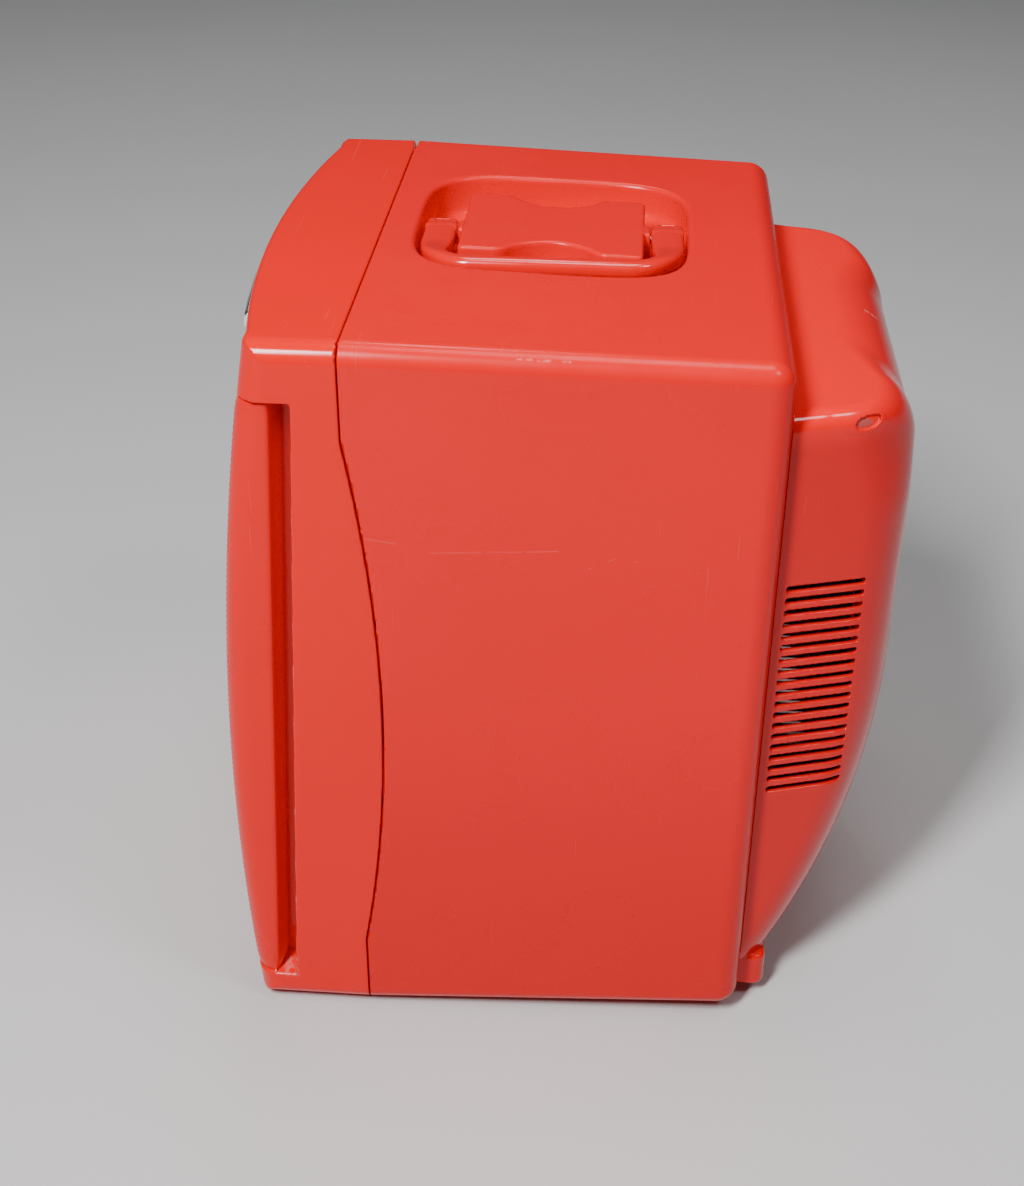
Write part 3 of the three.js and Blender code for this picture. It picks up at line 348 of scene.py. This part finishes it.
def front_panel():
    """The bowed skin between the grooves, closed, with its rope-like border raised on it."""
    low, high = GROOVE["low"] + 0.4, GROOVE["high"] - 0.4
    heights = np.linspace(low, high, 500)
    loops = []
    for z in heights:
        outer = np.array(panel_outline(z, 0))
        inner = np.array(panel_outline(z, 2.4))
        edge = np.minimum(z - low, high - z)
        tuck = 1.2 - math.sqrt(max(0, 1.44 - max(0, 1.2 - edge) ** 2))
        step = np.gradient(outer, axis=0)
        normal = np.stack([step[:, 1], -step[:, 0]], 1)
        normal /= np.linalg.norm(normal, axis=1, keepdims=True)
        run = np.concatenate([[0], np.cumsum(np.linalg.norm(np.diff(outer, axis=0), axis=1))])
        outer = outer + rope(outer, normal, run, z) - normal * tuck
        right = np.concatenate([outer, inner[::-1]])
        left = right[::-1] * (-1, 1)
        ring = np.concatenate([right, left[1:-1]])
        loops.append(np.column_stack([ring, np.full(len(ring), z)]))
    return tube_mesh("panel_skin", loops)


ROPE = {"middle": 136.0, "half": 14, "pitch": 3.4, "twist": 0.9, "low": 21, "high": 368, "fade": 4}


def rope(outer, normal, run, z):
    """Raised twisted strands along the panel's upright edges."""
    across = (outer[:, 0] - ROPE["middle"]) / ROPE["half"]
    ends = np.clip((z - ROPE["low"]) / ROPE["fade"], 0, 1) * np.clip((ROPE["high"] - z) / ROPE["fade"], 0, 1)
    band = np.clip(1 - across ** 2, 0, 1) * ends
    strand = 0.5 + 0.5 * np.cos((z + run * ROPE["twist"]) * 2 * math.pi / ROPE["pitch"])
    return normal * (band ** 0.5 * (0.35 + 0.5 * strand))[:, None]


def tube_mesh(name, loops):
    """A closed mesh through loops of equal length, with both ends filled by a fan of strips."""
    rows, size = len(loops), len(loops[0])
    points = np.concatenate(loops)
    faces = []
    for r in range(rows - 1):
        for c in range(size):
            n = (c + 1) % size
            faces.append((r * size + c, r * size + n, (r + 1) * size + n, (r + 1) * size + c))
    for base, turned in ((0, True), ((rows - 1) * size, False)):
        for c in range(size // 2 - 1):
            quad = [base + c, base + c + 1, base + size - 2 - c, base + size - 1 - c]
            faces.append(tuple(reversed(quad)) if turned else tuple(quad))
    mesh = bpy.data.meshes.new(name)
    mesh.from_pydata(metres(points).tolist(), [], faces)
    piece = bpy.data.objects.new(name, mesh)
    bpy.context.scene.collection.objects.link(piece)
    tidy_mesh(mesh)
    return piece


def tidy_mesh(mesh, angle=40):
    bm = bmesh.new()
    bm.from_mesh(mesh)
    bmesh.ops.remove_doubles(bm, verts=bm.verts, dist=1e-6)
    bmesh.ops.dissolve_degenerate(bm, edges=bm.edges, dist=1e-6)
    bmesh.ops.recalc_face_normals(bm, faces=bm.faces)
    limit = math.radians(angle)
    for edge in bm.edges:
        edge.smooth = len(edge.link_faces) == 2 and edge.calc_face_angle(0) < limit
    for face in bm.faces:
        face.smooth = True
    bm.to_mesh(mesh)
    bm.free()


# ------------------------------------------------------------------ handle
def smooth(t):
    t = np.clip(t, 0, 1)
    return t * t * (3 - 2 * t)


HANDLE = {"z": 390, "reach": 53, "leg": 59.4, "corner": 20, "tail": 9.6, "thick": 4.4,
          "lug": 5.3, "bore": 2.2}


def handle_field(x, y, z):
    """The folded handle: flat legs that turn into a rounder, raised grip."""
    u = x - WELL["x"]
    v = np.abs(y - WELL["y"])
    w = z - HANDLE["z"]
    from_axis = np.hypot(u, w)
    grip = smooth((u - 22) / 28)
    ring = np.abs(both(u - HANDLE["reach"], v - HANDLE["leg"], HANDLE["corner"]))
    wide = 8.2 - 3.2 * grip
    power = 5 - 2.6 * grip
    lift = w - 1.2 - 2.8 * grip
    section = np.maximum(ring / wide, 1e-3) ** power + np.abs(lift / HANDLE["thick"]) ** power
    body = (section ** (1 / power) - 1) * HANDLE["thick"]
    body = both(body, -u - HANDLE["tail"], 1.8)
    under = both(slab(v, 54.5, 64.3), both(slab(u, 8, 30), w + 2.2, 0.8), 0.8)
    body = both(body, -under, 0.8)
    lip = both(slab(v, 55.6, 63.2), both(slab(u, -8.4, -5.4), 4.9 - w, 0.3), 0.3)
    body = both(body, -lip, 0.4)
    lug = both(from_axis - HANDLE["lug"], slab(v, 51.4, 67.4), 0.8)
    return both(either(body, lug, 1.2), HANDLE["bore"] - from_axis, 0.2)


# ------------------------------------------------------------------ rear housing
FAN_Z = 209.0
TOP = 363.8
JOIN_Y = 205.6
TAPER = 0.30
WALL = 3.1
BACK = {"y": 270.6, "arc": 391, "arc_start": 211, "arc_deep": 300}
VENT = {"pitch": 6.83, "half": 1.7, "rows": 9, "from_y": 211, "to_y": 250}
PLUG = {"x": 118.4, "z": 357.2, "radius": 3.9}
LOWER_BORE = {"x": 84, "z": 62, "radius": 4.6, "floor": 218}
DIMPLE = {"y": 241.6, "z": 356.7, "half_y": 5.8, "half_z": 3.1, "deep": 1.3}


def housing_back(z):
    """The back's y at height z: upright above, an arc that draws in towards the floor below."""
    below = np.minimum(np.maximum(0, BACK["arc_start"] - z), BACK["arc_deep"])
    return BACK["y"] - (BACK["arc"] - np.sqrt(float(BACK["arc"]) ** 2 - below ** 2))


def housing_body(x, y, z, inset):
    sides = (np.abs(x) - (131 - TAPER * (y - JOIN_Y))) * math.cos(math.atan(TAPER))
    back = y - housing_back(z)
    plan = both(sides, back, 26 + 13 * smooth((z - TOP + 60) / 50))
    top_round = 8.8 + 28 * smooth((back - sides) / 80 + 0.35)
    upper = both(plan, z - TOP, top_round)
    upper = both(upper, 26 - z, 1)
    base = both(both(slab(x, -127, 127), y - 221, 6), slab(z, 5.2, 27), 3)
    return either(upper, base, 1) + inset


def screw_boss(x, y, z, hull, place):
    """A solid pillar round a screw pair's axis, and the distance beyond its bore's radius."""
    past = np.hypot(np.abs(x) - place["x"], z - place["z"]) - place["radius"]
    return both(both(past - 2, hull), 206 - y), past


def housing_field(x, y, z):
    hull = housing_body(x, y, z, 0)
    shell = both(hull, -housing_body(x, y, z, WALL))
    shell = both(shell, JOIN_Y - y, 0.5)
    shell = either(shell, screw_boss(x, y, z, hull, PLUG)[0], 1)
    boss, past = screw_boss(x, y, z, hull, LOWER_BORE)
    shell = both(either(shell, boss, 1), -both(past, LOWER_BORE["floor"] - y), 0.6)
    from_middle = np.hypot((y - DIMPLE["y"]) / DIMPLE["half_y"], (z - DIMPLE["z"]) / DIMPLE["half_z"])
    dimple = (from_middle - 1) * DIMPLE["half_z"]
    dimple = both(dimple, np.maximum(-DIMPLE["deep"] - hull, 60 - np.abs(x)))
    shell = both(shell, -dimple, 0.5)
    from_fan = np.hypot(x, z - FAN_Z)
    shell = either(shell, both(from_fan - 52, slab(y, 261.5, 269.6), 1), 1.5)
    shell = both(shell, -both(from_fan - 48.6, 254 - y), 0.8)
    row = np.clip(np.round((z - FAN_Z) / VENT["pitch"]), -VENT["rows"], VENT["rows"])
    nearest = row * VENT["pitch"] + FAN_Z
    slots = slab(z, nearest - VENT["half"], nearest + VENT["half"])
    vents = both(slots, slab(y, VENT["from_y"], VENT["to_y"]), 1.2)
    vents = both(vents, 90 - np.abs(x))
    shell = both(shell, -vents, 0.5)
    return both(shell, -block(x, y, z, -46, 46, 259, 284, 286, 326, 0.6), 0.6)


# ------------------------------------------------------------------ build the pieces
cabinet = field_piece("cabinet_skin", cabinet_field, (-155, -3, -2), (155, 208, 403), 1.7, 0.35)
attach(cabinet, "cabinet")
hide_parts("cabinet_shell")

door = field_piece("door_moulding", door_field, (-155, -84, -2), (155, 37, 403), 1.6, 0.45)
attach(door, "door")
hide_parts("door_shell")

panel = front_panel()
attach(panel, "door")
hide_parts("front_panel")

handle = field_piece("handle_bail", handle_field, (-31, 18, 382), (39.5, 157.2, 400), 0.7)
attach(handle, "handle")
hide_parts("carry_handle")

housing = field_piece("housing_skin", housing_field, (-133, 204, -1), (133, 272, 366), 1.1, 0.6)
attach(housing, "cabinet")
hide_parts("rear_housing")


def soften(node, width=0.4, segments=2, angle=38):
    """Rounds a CAD node's sharp edges a little, as moulding and casting do."""
    piece = frame["nodes"][node]
    mesh = piece.data
    if "custom_normal" in mesh.attributes:
        mesh.attributes.remove(mesh.attributes["custom_normal"])
    mesh.polygons.foreach_set("use_smooth", np.ones(len(mesh.polygons), bool))
    weld = piece.modifiers.new("weld", "WELD")
    weld.merge_threshold = 2e-5
    bevel = piece.modifiers.new("soften", "BEVEL")
    bevel.width = width / 1000
    bevel.segments = segments
    bevel.limit_method = "ANGLE"
    bevel.angle_limit = math.radians(angle)
    bevel.harden_normals = True
    return piece


SOFTENED = {
    "front_frame": 0.8, "inner_liner": 1.5, "door_liner": 1.0, "door_gasket": 1.2, "door_rack_lower": 0.8,
    "door_rack_upper": 0.8, "wire_shelf": 0.5, "inner_fan_cover": 0.9, "rear_fan_guard": 0.6,
    "rear_fan_frame": 0.5, "rear_fan_rotor": 0.3, "inner_fan_frame": 0.4, "inner_fan_rotor": 0.25,
    "hot_heatsink": 0.15, "cold_heatsink": 0.15, "socket_plate": 0.4, "ac_inlet": 0.4, "dc_inlet": 0.4,
    "switch_body": 0.4, "mode_switch": 0.5, "header_badge": 0.5, "hinge_bracket_lower": 0.6,
    "hinge_bracket_upper": 0.6, "screw_cap_left": 0.4, "screw_cap_right": 0.4, "foot_front_left": 1.2,
    "foot_front_right": 1.2, "foot_rear_left": 1.2, "foot_rear_right": 1.2, "transformer": 1.2,
    "power_board": 0.15, "board_capacitor": 0.8, "led_cold": 0.5, "led_hot": 0.5,
}
for _node, _width in SOFTENED.items():
    soften(_node, _width)


# ------------------------------------------------------------------ materials
class Look:
    """A node material whose detail lies in the object's own coordinates."""

    def __init__(self, name, color, roughness, metallic=0.0):
        self.material = bpy.data.materials.new(name)
        self.material.use_nodes = True
        self.tree = self.material.node_tree
        self.shader = self.tree.nodes["Principled BSDF"]
        self.shader.inputs["Metallic"].default_value = metallic
        self.coords = self.add("ShaderNodeTexCoord").outputs["Object"]
        self.color = self.rgb(color)
        self.rough = self.number(roughness)
        self.bumps = []

    def add(self, kind, **settings):
        node = self.tree.nodes.new(kind)
        for key, value in settings.items():
            setattr(node, key, value)
        return node

    def link(self, a, b):
        self.tree.links.new(a, b)

    def feed(self, socket, value):
        if isinstance(value, bpy.types.NodeSocket):
            self.link(value, socket)
        else:
            socket.default_value = value

    def rgb(self, color):
        node = self.add("ShaderNodeRGB")
        node.outputs[0].default_value = (*color, 1)
        return node.outputs[0]

    def number(self, value):
        node = self.add("ShaderNodeValue")
        node.outputs[0].default_value = value
        return node.outputs[0]

    def math(self, operation, a, b=0.0, clamp=False):
        node = self.add("ShaderNodeMath", operation=operation, use_clamp=clamp)
        self.feed(node.inputs[0], a)
        self.feed(node.inputs[1], b)
        return node.outputs[0]

    def span(self, value, low, high, to_low=0.0, to_high=1.0):
        node = self.add("ShaderNodeMapRange", interpolation_type="SMOOTHSTEP")
        self.feed(node.inputs["Value"], value)
        for key, v in (("From Min", low), ("From Max", high), ("To Min", to_low), ("To Max", to_high)):
            node.inputs[key].default_value = v
        return node.outputs["Result"]

    def noise(self, scale, detail=3.0, stretch=(1, 1, 1), turn=(0, 0, 0), rough=0.5, shift=0.0):
        place = self.add("ShaderNodeMapping")
        place.inputs["Scale"].default_value = stretch
        place.inputs["Rotation"].default_value = turn
        place.inputs["Location"].default_value = (shift, shift * 0.7, shift * 1.3)
        self.link(self.coords, place.inputs["Vector"])
        node = self.add("ShaderNodeTexNoise")
        self.link(place.outputs["Vector"], node.inputs["Vector"])
        node.inputs["Scale"].default_value = scale
        node.inputs["Detail"].default_value = detail
        node.inputs["Roughness"].default_value = rough
        return node.outputs["Fac"]

    def cells(self, scale, shift=0.0):
        place = self.add("ShaderNodeMapping")
        place.inputs["Location"].default_value = (shift, shift, shift)
        self.link(self.coords, place.inputs["Vector"])
        node = self.add("ShaderNodeTexVoronoi")
        self.link(place.outputs["Vector"], node.inputs["Vector"])
        node.inputs["Scale"].default_value = scale
        return node.outputs["Distance"]

    def tint(self, mask, color):
        node = self.add("ShaderNodeMix", data_type="RGBA")
        self.link(mask, node.inputs["Factor"])
        self.link(self.color, node.inputs[6])
        node.inputs[7].default_value = (*color, 1)
        self.color = node.outputs[2]

    def roughen(self, mask, amount):
        self.rough = self.math("ADD", self.rough, self.math("MULTIPLY", mask, amount), True)

    def bump(self, height, distance, strength=1.0):
        self.bumps.append((height, distance, strength))

    def vector(self, operation, a, b=(0, 0, 0)):
        node = self.add("ShaderNodeVectorMath", operation=operation)
        self.feed(node.inputs[0], a)
        if operation == "SCALE":
            self.feed(node.inputs["Scale"], b)
        else:
            self.feed(node.inputs[1], b)
        return node.outputs["Value" if operation in ("DOT_PRODUCT", "LENGTH") else "Vector"]

    def mark(self, start, end, width, amount, color, soft=0.5, grit=260):
        """A broken pale mark, width mm to each side of the line between two design points."""
        first, last = spot(*start), spot(*end)
        along = last - first
        offset = self.vector("SUBTRACT", self.coords, first)
        ahead = self.vector("DOT_PRODUCT", offset, along)
        share = self.math("MULTIPLY", ahead, 1 / along.length_squared, True)
        away = self.vector("LENGTH", self.vector("SUBTRACT", offset, self.vector("SCALE", along, share)))
        inside = self.span(away, width / 1000, width / 1000 * (1 - soft))
        broken = self.span(self.noise(grit, 3, shift=width), 0.38, 0.56)
        mask = self.math("MULTIPLY", self.math("MULTIPLY", inside, broken), amount)
        self.tint(mask, color)
        self.roughen(mask, 0.3)

    def mask(self, name):
        return self.add("ShaderNodeAttribute", attribute_name=name).outputs["Fac"]

    def place(self):
        node = self.add("ShaderNodeSeparateXYZ")
        self.link(self.coords, node.inputs[0])
        return node.outputs

    def done(self, **sockets):
        self.link(self.color, self.shader.inputs["Base Color"])
        self.link(self.rough, self.shader.inputs["Roughness"])
        before = None
        for height, distance, strength in self.bumps:
            node = self.add("ShaderNodeBump")
            node.inputs["Distance"].default_value = distance
            node.inputs["Strength"].default_value = strength
            self.link(height, node.inputs["Height"])
            if before:
                self.link(before, node.inputs["Normal"])
            before = node.outputs["Normal"]
        if before:
            self.link(before, self.shader.inputs["Normal"])
        for key, value in sockets.items():
            self.shader.inputs[key.replace("_", " ")].default_value = value
        return self.material


def red_plastic(name, color, deep, roughness, grain=0.00004, worn=0.4):
    """Moulded red plastic that has been carried about: scuffed edges, hairline scratches, dust."""
    look = Look(name, color, roughness)
    look.tint(look.span(look.noise(5, 2), 0.35, 0.7, 0, 0.55), deep)
    look.tint(look.span(look.noise(38, 4), 0.45, 0.75, 0, 0.22), deep)
    edge = look.mask("wear")
    patch = look.span(look.noise(55, 4, rough=0.65), 0.47, 0.62)
    rub = look.math("MULTIPLY", look.math("MULTIPLY", look.span(edge, 0.35, 0.8), patch), worn)
    pale = (color[0], color[1] * 0.7 + 0.16, color[2] * 0.7 + 0.14)
    look.tint(rub, pale)
    look.roughen(rub, 0.25)
    for number, (turn, threshold) in enumerate((((0.3, 0.1, 0.5), 0.735), ((0.9, 0.5, 0.2), 0.745))):
        line = look.noise(1, 1, (14, 900, 18), turn, 0.4, number * 3.7)
        gate = look.span(look.noise(9, 2, shift=5 + number), 0.52, 0.66)
        hair = look.math("MULTIPLY", look.span(line, threshold, threshold + 0.04), gate)
        look.tint(look.math("MULTIPLY", hair, 0.16), pale)
        look.roughen(hair, 0.2)
    look.roughen(look.span(look.noise(14, 5, rough=0.6), 0.4, 0.75), 0.10)
    speck = look.span(look.cells(420), 0.12, 0.05)
    speck = look.math("MULTIPLY", speck, look.span(look.noise(60, 3, shift=2), 0.55, 0.7))
    look.tint(look.math("MULTIPLY", speck, 0.18), (0.8, 0.62, 0.58))
    look.bump(look.noise(900, 2), grain, 0.35)
    look.bump(look.noise(70, 2), 0.0003, 0.05)
    return look


GLOSS = 0.28
# Pale scuff colour, also used for the painted highlight along the door's groove edges.
SCUFF_AND_EDGE_HIGHLIGHT = (0.80, 0.20, 0.17)
WHITENED = (0.80, 0.50, 0.46)
PLUG_PINK = (0.42, 0.09, 0.08)


def cabinet_red():
    look = red_plastic("cabinet_red", (0.80, 0.001, 0.004), (0.75, 0.0005, 0.002), 0.23)
    # Painted shade: the cabinet's red is tinted darker towards the bottom, standing in for the dark
    # reflection low on its sides.
    look.tint(look.span(look.place()["Z"], 0.05, 0.24, 0.9, 0), (0.66, 0.0005, 0.0005))
    for y, z, length in ((80, 394.9, 7), (90, 394.7, 5), (101, 394.8, 3), (52, 395.2, 4), (22, 396.4, 5)):
        look.mark((146.6, y, z), (146.4, y + length, z - 0.2), 0.8, 0.6, SCUFF_AND_EDGE_HIGHLIGHT)
    look.mark((152.3, 9, 303), (151.9, 24, 300.5), 0.35, 0.3, SCUFF_AND_EDGE_HIGHLIGHT)
    look.mark((151.4, 40, 296), (149.6, 104, 299), 0.3, 0.28, SCUFF_AND_EDGE_HIGHLIGHT)
    look.mark((149.4, 112, 288), (148.9, 128, 296), 0.3, 0.25, SCUFF_AND_EDGE_HIGHLIGHT)
    return look.done(Specular_IOR_Level=GLOSS)


def door_red():
    look = red_plastic("door_red", (0.82, 0.001, 0.001), (0.77, 0.0005, 0.0005), 0.15, 0.00002)
    for side in (-1, 1):
        look.mark((side * 136, -48, 18), (side * 150, -45, 18), 4.5, 0.28, WHITENED, 0.9)
        look.mark((side * 151.6, -40.5, 18), (side * 151.6, -40, 31), 2.4, 0.35, WHITENED, 0.9)
        look.mark((side * 151.9, -52, 17.8), (side * 151.9, -42, 17.8), 0.8, 0.5, WHITENED)
        # Painted highlight: a thin pale line down each groove's rear edge, where that edge catches the
        # light.
        look.mark((side * 152.2, -38, 60), (side * 152.2, -24, 330), 0.45, 0.35, SCUFF_AND_EDGE_HIGHLIGHT)
    return look.done(Specular_IOR_Level=0.26)


def housing_red():
    look = red_plastic("housing_red", (0.68, 0.001, 0.002), (0.60, 0.0005, 0.001), 0.14)
    # Painted light: the housing's top is tinted brighter than its sides, as if lit more strongly from above.
    look.tint(look.span(look.place()["Z"], 0.346, 0.364, 0, 1), (0.92, 0.002, 0.004))
    look.mark((-10.0, 251.9, 359.1), (-10.4, 258.1, 354.6), 0.7, 0.8, WHITENED)
    look.mark((-8.8, 262.7, 349.8), (-5.7, 264.2, 347.8), 0.8, 0.7, WHITENED)
    for side in (-1, 1):
        ends = (side * 119, 237.6, 356.9), (side * 118, 245.4, 356.3)
        look.mark(*ends, 2.7, 0.8, PLUG_PINK, 0.3, 30)
    return look.done(Specular_IOR_Level=0.36)


cabinet_look = cabinet_red()
door_look = door_red()
panel_look = red_plastic("panel_red", (0.80, 0.001, 0.001), (0.75, 0.0005, 0.0005), 0.22, 0.00003)
panel_look = panel_look.done(Specular_IOR_Level=0.26)
handle_look = red_plastic("handle_red", (0.80, 0.001, 0.002), (0.72, 0.0005, 0.001), 0.12, 0.00002)
handle_look = handle_look.done(Specular_IOR_Level=0.8)
housing_look = housing_red()


def plain_plastic(name, color, roughness, dirt=(0.5, 0.45, 0.35), amount=0.2, grain=0.00003, **sockets):
    look = Look(name, color, roughness)
    darker = tuple(c * 0.82 for c in color)
    look.tint(look.span(look.noise(12, 3), 0.4, 0.7, 0, 0.5), darker)
    grime = look.math("MULTIPLY", look.span(look.noise(45, 5, rough=0.65), 0.52, 0.75), amount)
    look.tint(grime, dirt)
    look.roughen(look.span(look.noise(30, 4), 0.4, 0.7), 0.14)
    look.bump(look.noise(1100, 2), grain, 0.4)
    look.bump(look.noise(90, 2), 0.0002, 0.08)
    return look.done(**sockets)


def bare_metal(name, color, roughness, along=(1, 40, 40)):
    look = Look(name, color, roughness, 1.0)
    look.tint(look.span(look.noise(30, 4), 0.4, 0.7, 0, 0.6), tuple(c * 0.75 for c in color))
    streak = look.noise(60, 3, along)
    look.roughen(look.span(streak, 0.35, 0.7), 0.16)
    look.tint(look.math("MULTIPLY", look.span(look.noise(110, 4), 0.6, 0.8), 0.25), (0.30, 0.27, 0.24))
    look.bump(streak, 0.00004, 0.4)
    return look.done()


def foam_look():
    look = Look("foam", (0.84, 0.78, 0.62), 0.9)
    look.tint(look.span(look.noise(25, 4), 0.4, 0.7, 0, 0.5), (0.7, 0.6, 0.42))
    look.bump(look.cells(500), 0.0004, 0.7)
    return look.done()


LOOKS = {
    "red_gloss": cabinet_look,
    "red_textured": panel_look,
    "plug_red": plain_plastic("plug_pink", (0.52, 0.11, 0.09), 0.6, (0.4, 0.2, 0.16), 0.4),
    "white_plastic": plain_plastic("white_plastic", (0.78, 0.79, 0.76), 0.32),
    "white_wire": plain_plastic("white_coating", (0.80, 0.81, 0.79), 0.35),
    "foam": foam_look(),
    "seal": plain_plastic("grey_seal", (0.28, 0.29, 0.30), 0.62, (0.12, 0.11, 0.10), 0.4, 0.00006),
    "rubber": plain_plastic("foot_rubber", (0.03, 0.03, 0.03), 0.75, (0.16, 0.14, 0.12), 0.4, 0.0001),
    "black_plastic": plain_plastic("black_plastic", (0.018, 0.018, 0.02), 0.42, (0.10, 0.09, 0.08), 0.25),
    "aluminium": bare_metal("aluminium", (0.72, 0.73, 0.75), 0.32),
    "steel": bare_metal("zinc_steel", (0.52, 0.53, 0.54), 0.34),
    "chrome": bare_metal("bright_chrome", (0.90, 0.91, 0.92), 0.16, (1, 6, 6)),
    "ceramic": plain_plastic("ceramic", (0.78, 0.76, 0.70), 0.6),
    "circuit_board": plain_plastic("board_green", (0.02, 0.14, 0.05), 0.35, (0.30, 0.26, 0.12), 0.3),
    "winding_tape": plain_plastic("tape_yellow", (0.62, 0.42, 0.06), 0.45),
    "green_lens": plain_plastic("lens_green", (0.03, 0.35, 0.10), 0.12),
    "red_lens": plain_plastic("lens_red", (0.45, 0.02, 0.02), 0.12),
    "red_wire": plain_plastic("wire_red", (0.45, 0.02, 0.02), 0.45),
}
SLOT_OF = {row["node"]: row["material_slot"] for row in frame["record"]["subparts"]}


def dress(piece, material):
    piece.data.materials.clear()
    piece.data.materials.append(material)


for _name, _object in frame["nodes"].items():
    dress(_object, LOOKS[SLOT_OF[_name]])
dress(frame["nodes"]["rear_fan_guard"], housing_look)
dress(cabinet, cabinet_look)
dress(door, door_look)
dress(panel, panel_look)
dress(handle, handle_look)
dress(housing, housing_look)


# ------------------------------------------------------------------ floor, lights, camera
def ground():
    look = Look("floor_matte", (0.60, 0.60, 0.60), 0.85)
    look.tint(look.span(look.noise(1.5, 3), 0.4, 0.7, 0, 0.4), (0.55, 0.55, 0.555))
    look.bump(look.noise(160, 3), 0.0004, 0.1)
    mesh = bpy.data.meshes.new("floor")
    mesh.from_pydata([(-9, -9, 0), (9, -9, 0), (9, 9, 0), (-9, 9, 0)], [], [(0, 1, 2, 3)])
    floor = bpy.data.objects.new("floor", mesh)
    bpy.context.scene.collection.objects.link(floor)
    dress(floor, look.done())


def softbox(name, place, aim, size, power, color=(1, 1, 1)):
    lamp = bpy.data.lights.new(name, "AREA")
    lamp.shape = "RECTANGLE"
    lamp.size, lamp.size_y = size
    lamp.energy = power
    lamp.color = color
    holder = bpy.data.objects.new(name, lamp)
    bpy.context.scene.collection.objects.link(holder)
    holder.location = place
    holder.rotation_euler = (Vector(aim) - Vector(place)).to_track_quat("-Z", "Y").to_euler()


ground()
CENTRE = (0, 0, 0.2)
softbox("key", (1.25, -0.58, 1.80), CENTRE, (0.28, 0.65), 62)
softbox("top", (-0.1, 0.15, 2.7), CENTRE, (0.9, 0.9), 17)
softbox("rim", (-1.3, -0.2, 2.3), CENTRE, (0.3, 0.4), 4)
softbox("back", (0.65, 1.05, 2.1), CENTRE, (0.45, 0.35), 9)
world = bpy.data.worlds.new("studio")
world.use_nodes = True
world.node_tree.nodes["Background"].inputs["Color"].default_value = (0.82, 0.84, 0.88, 1)
world.node_tree.nodes["Background"].inputs["Strength"].default_value = 0.07
bpy.context.scene.world = world


VIEW_ANGLES = (94.223, 32.094, 0.307)  # azimuth, elevation and roll, in degrees
VIEW_FROM = (848.3, 130.6, 714.1)
LENS_MM = 52.4914


def photo_camera():
    azimuth, elevation, roll = (math.radians(v) for v in VIEW_ANGLES)
    back = Vector((math.sin(azimuth) * math.cos(elevation), -math.cos(azimuth) * math.cos(elevation),
                   math.sin(elevation)))
    right = Vector((math.cos(azimuth), math.sin(azimuth), 0))
    up = back.cross(right)
    turned_right = right * math.cos(roll) + up * math.sin(roll)
    turned_up = up * math.cos(roll) - right * math.sin(roll)
    lens = bpy.data.cameras.new("camera")
    lens.sensor_width = 36
    lens.lens = LENS_MM
    lens.clip_start = 0.02
    lens.clip_end = 60
    camera = bpy.data.objects.new("camera", lens)
    bpy.context.scene.collection.objects.link(camera)
    axes = Matrix((turned_right, turned_up, back)).transposed().to_4x4()
    camera.matrix_world = Matrix.Translation(spot(*VIEW_FROM)) @ axes
    bpy.context.scene.camera = camera


photo_camera()
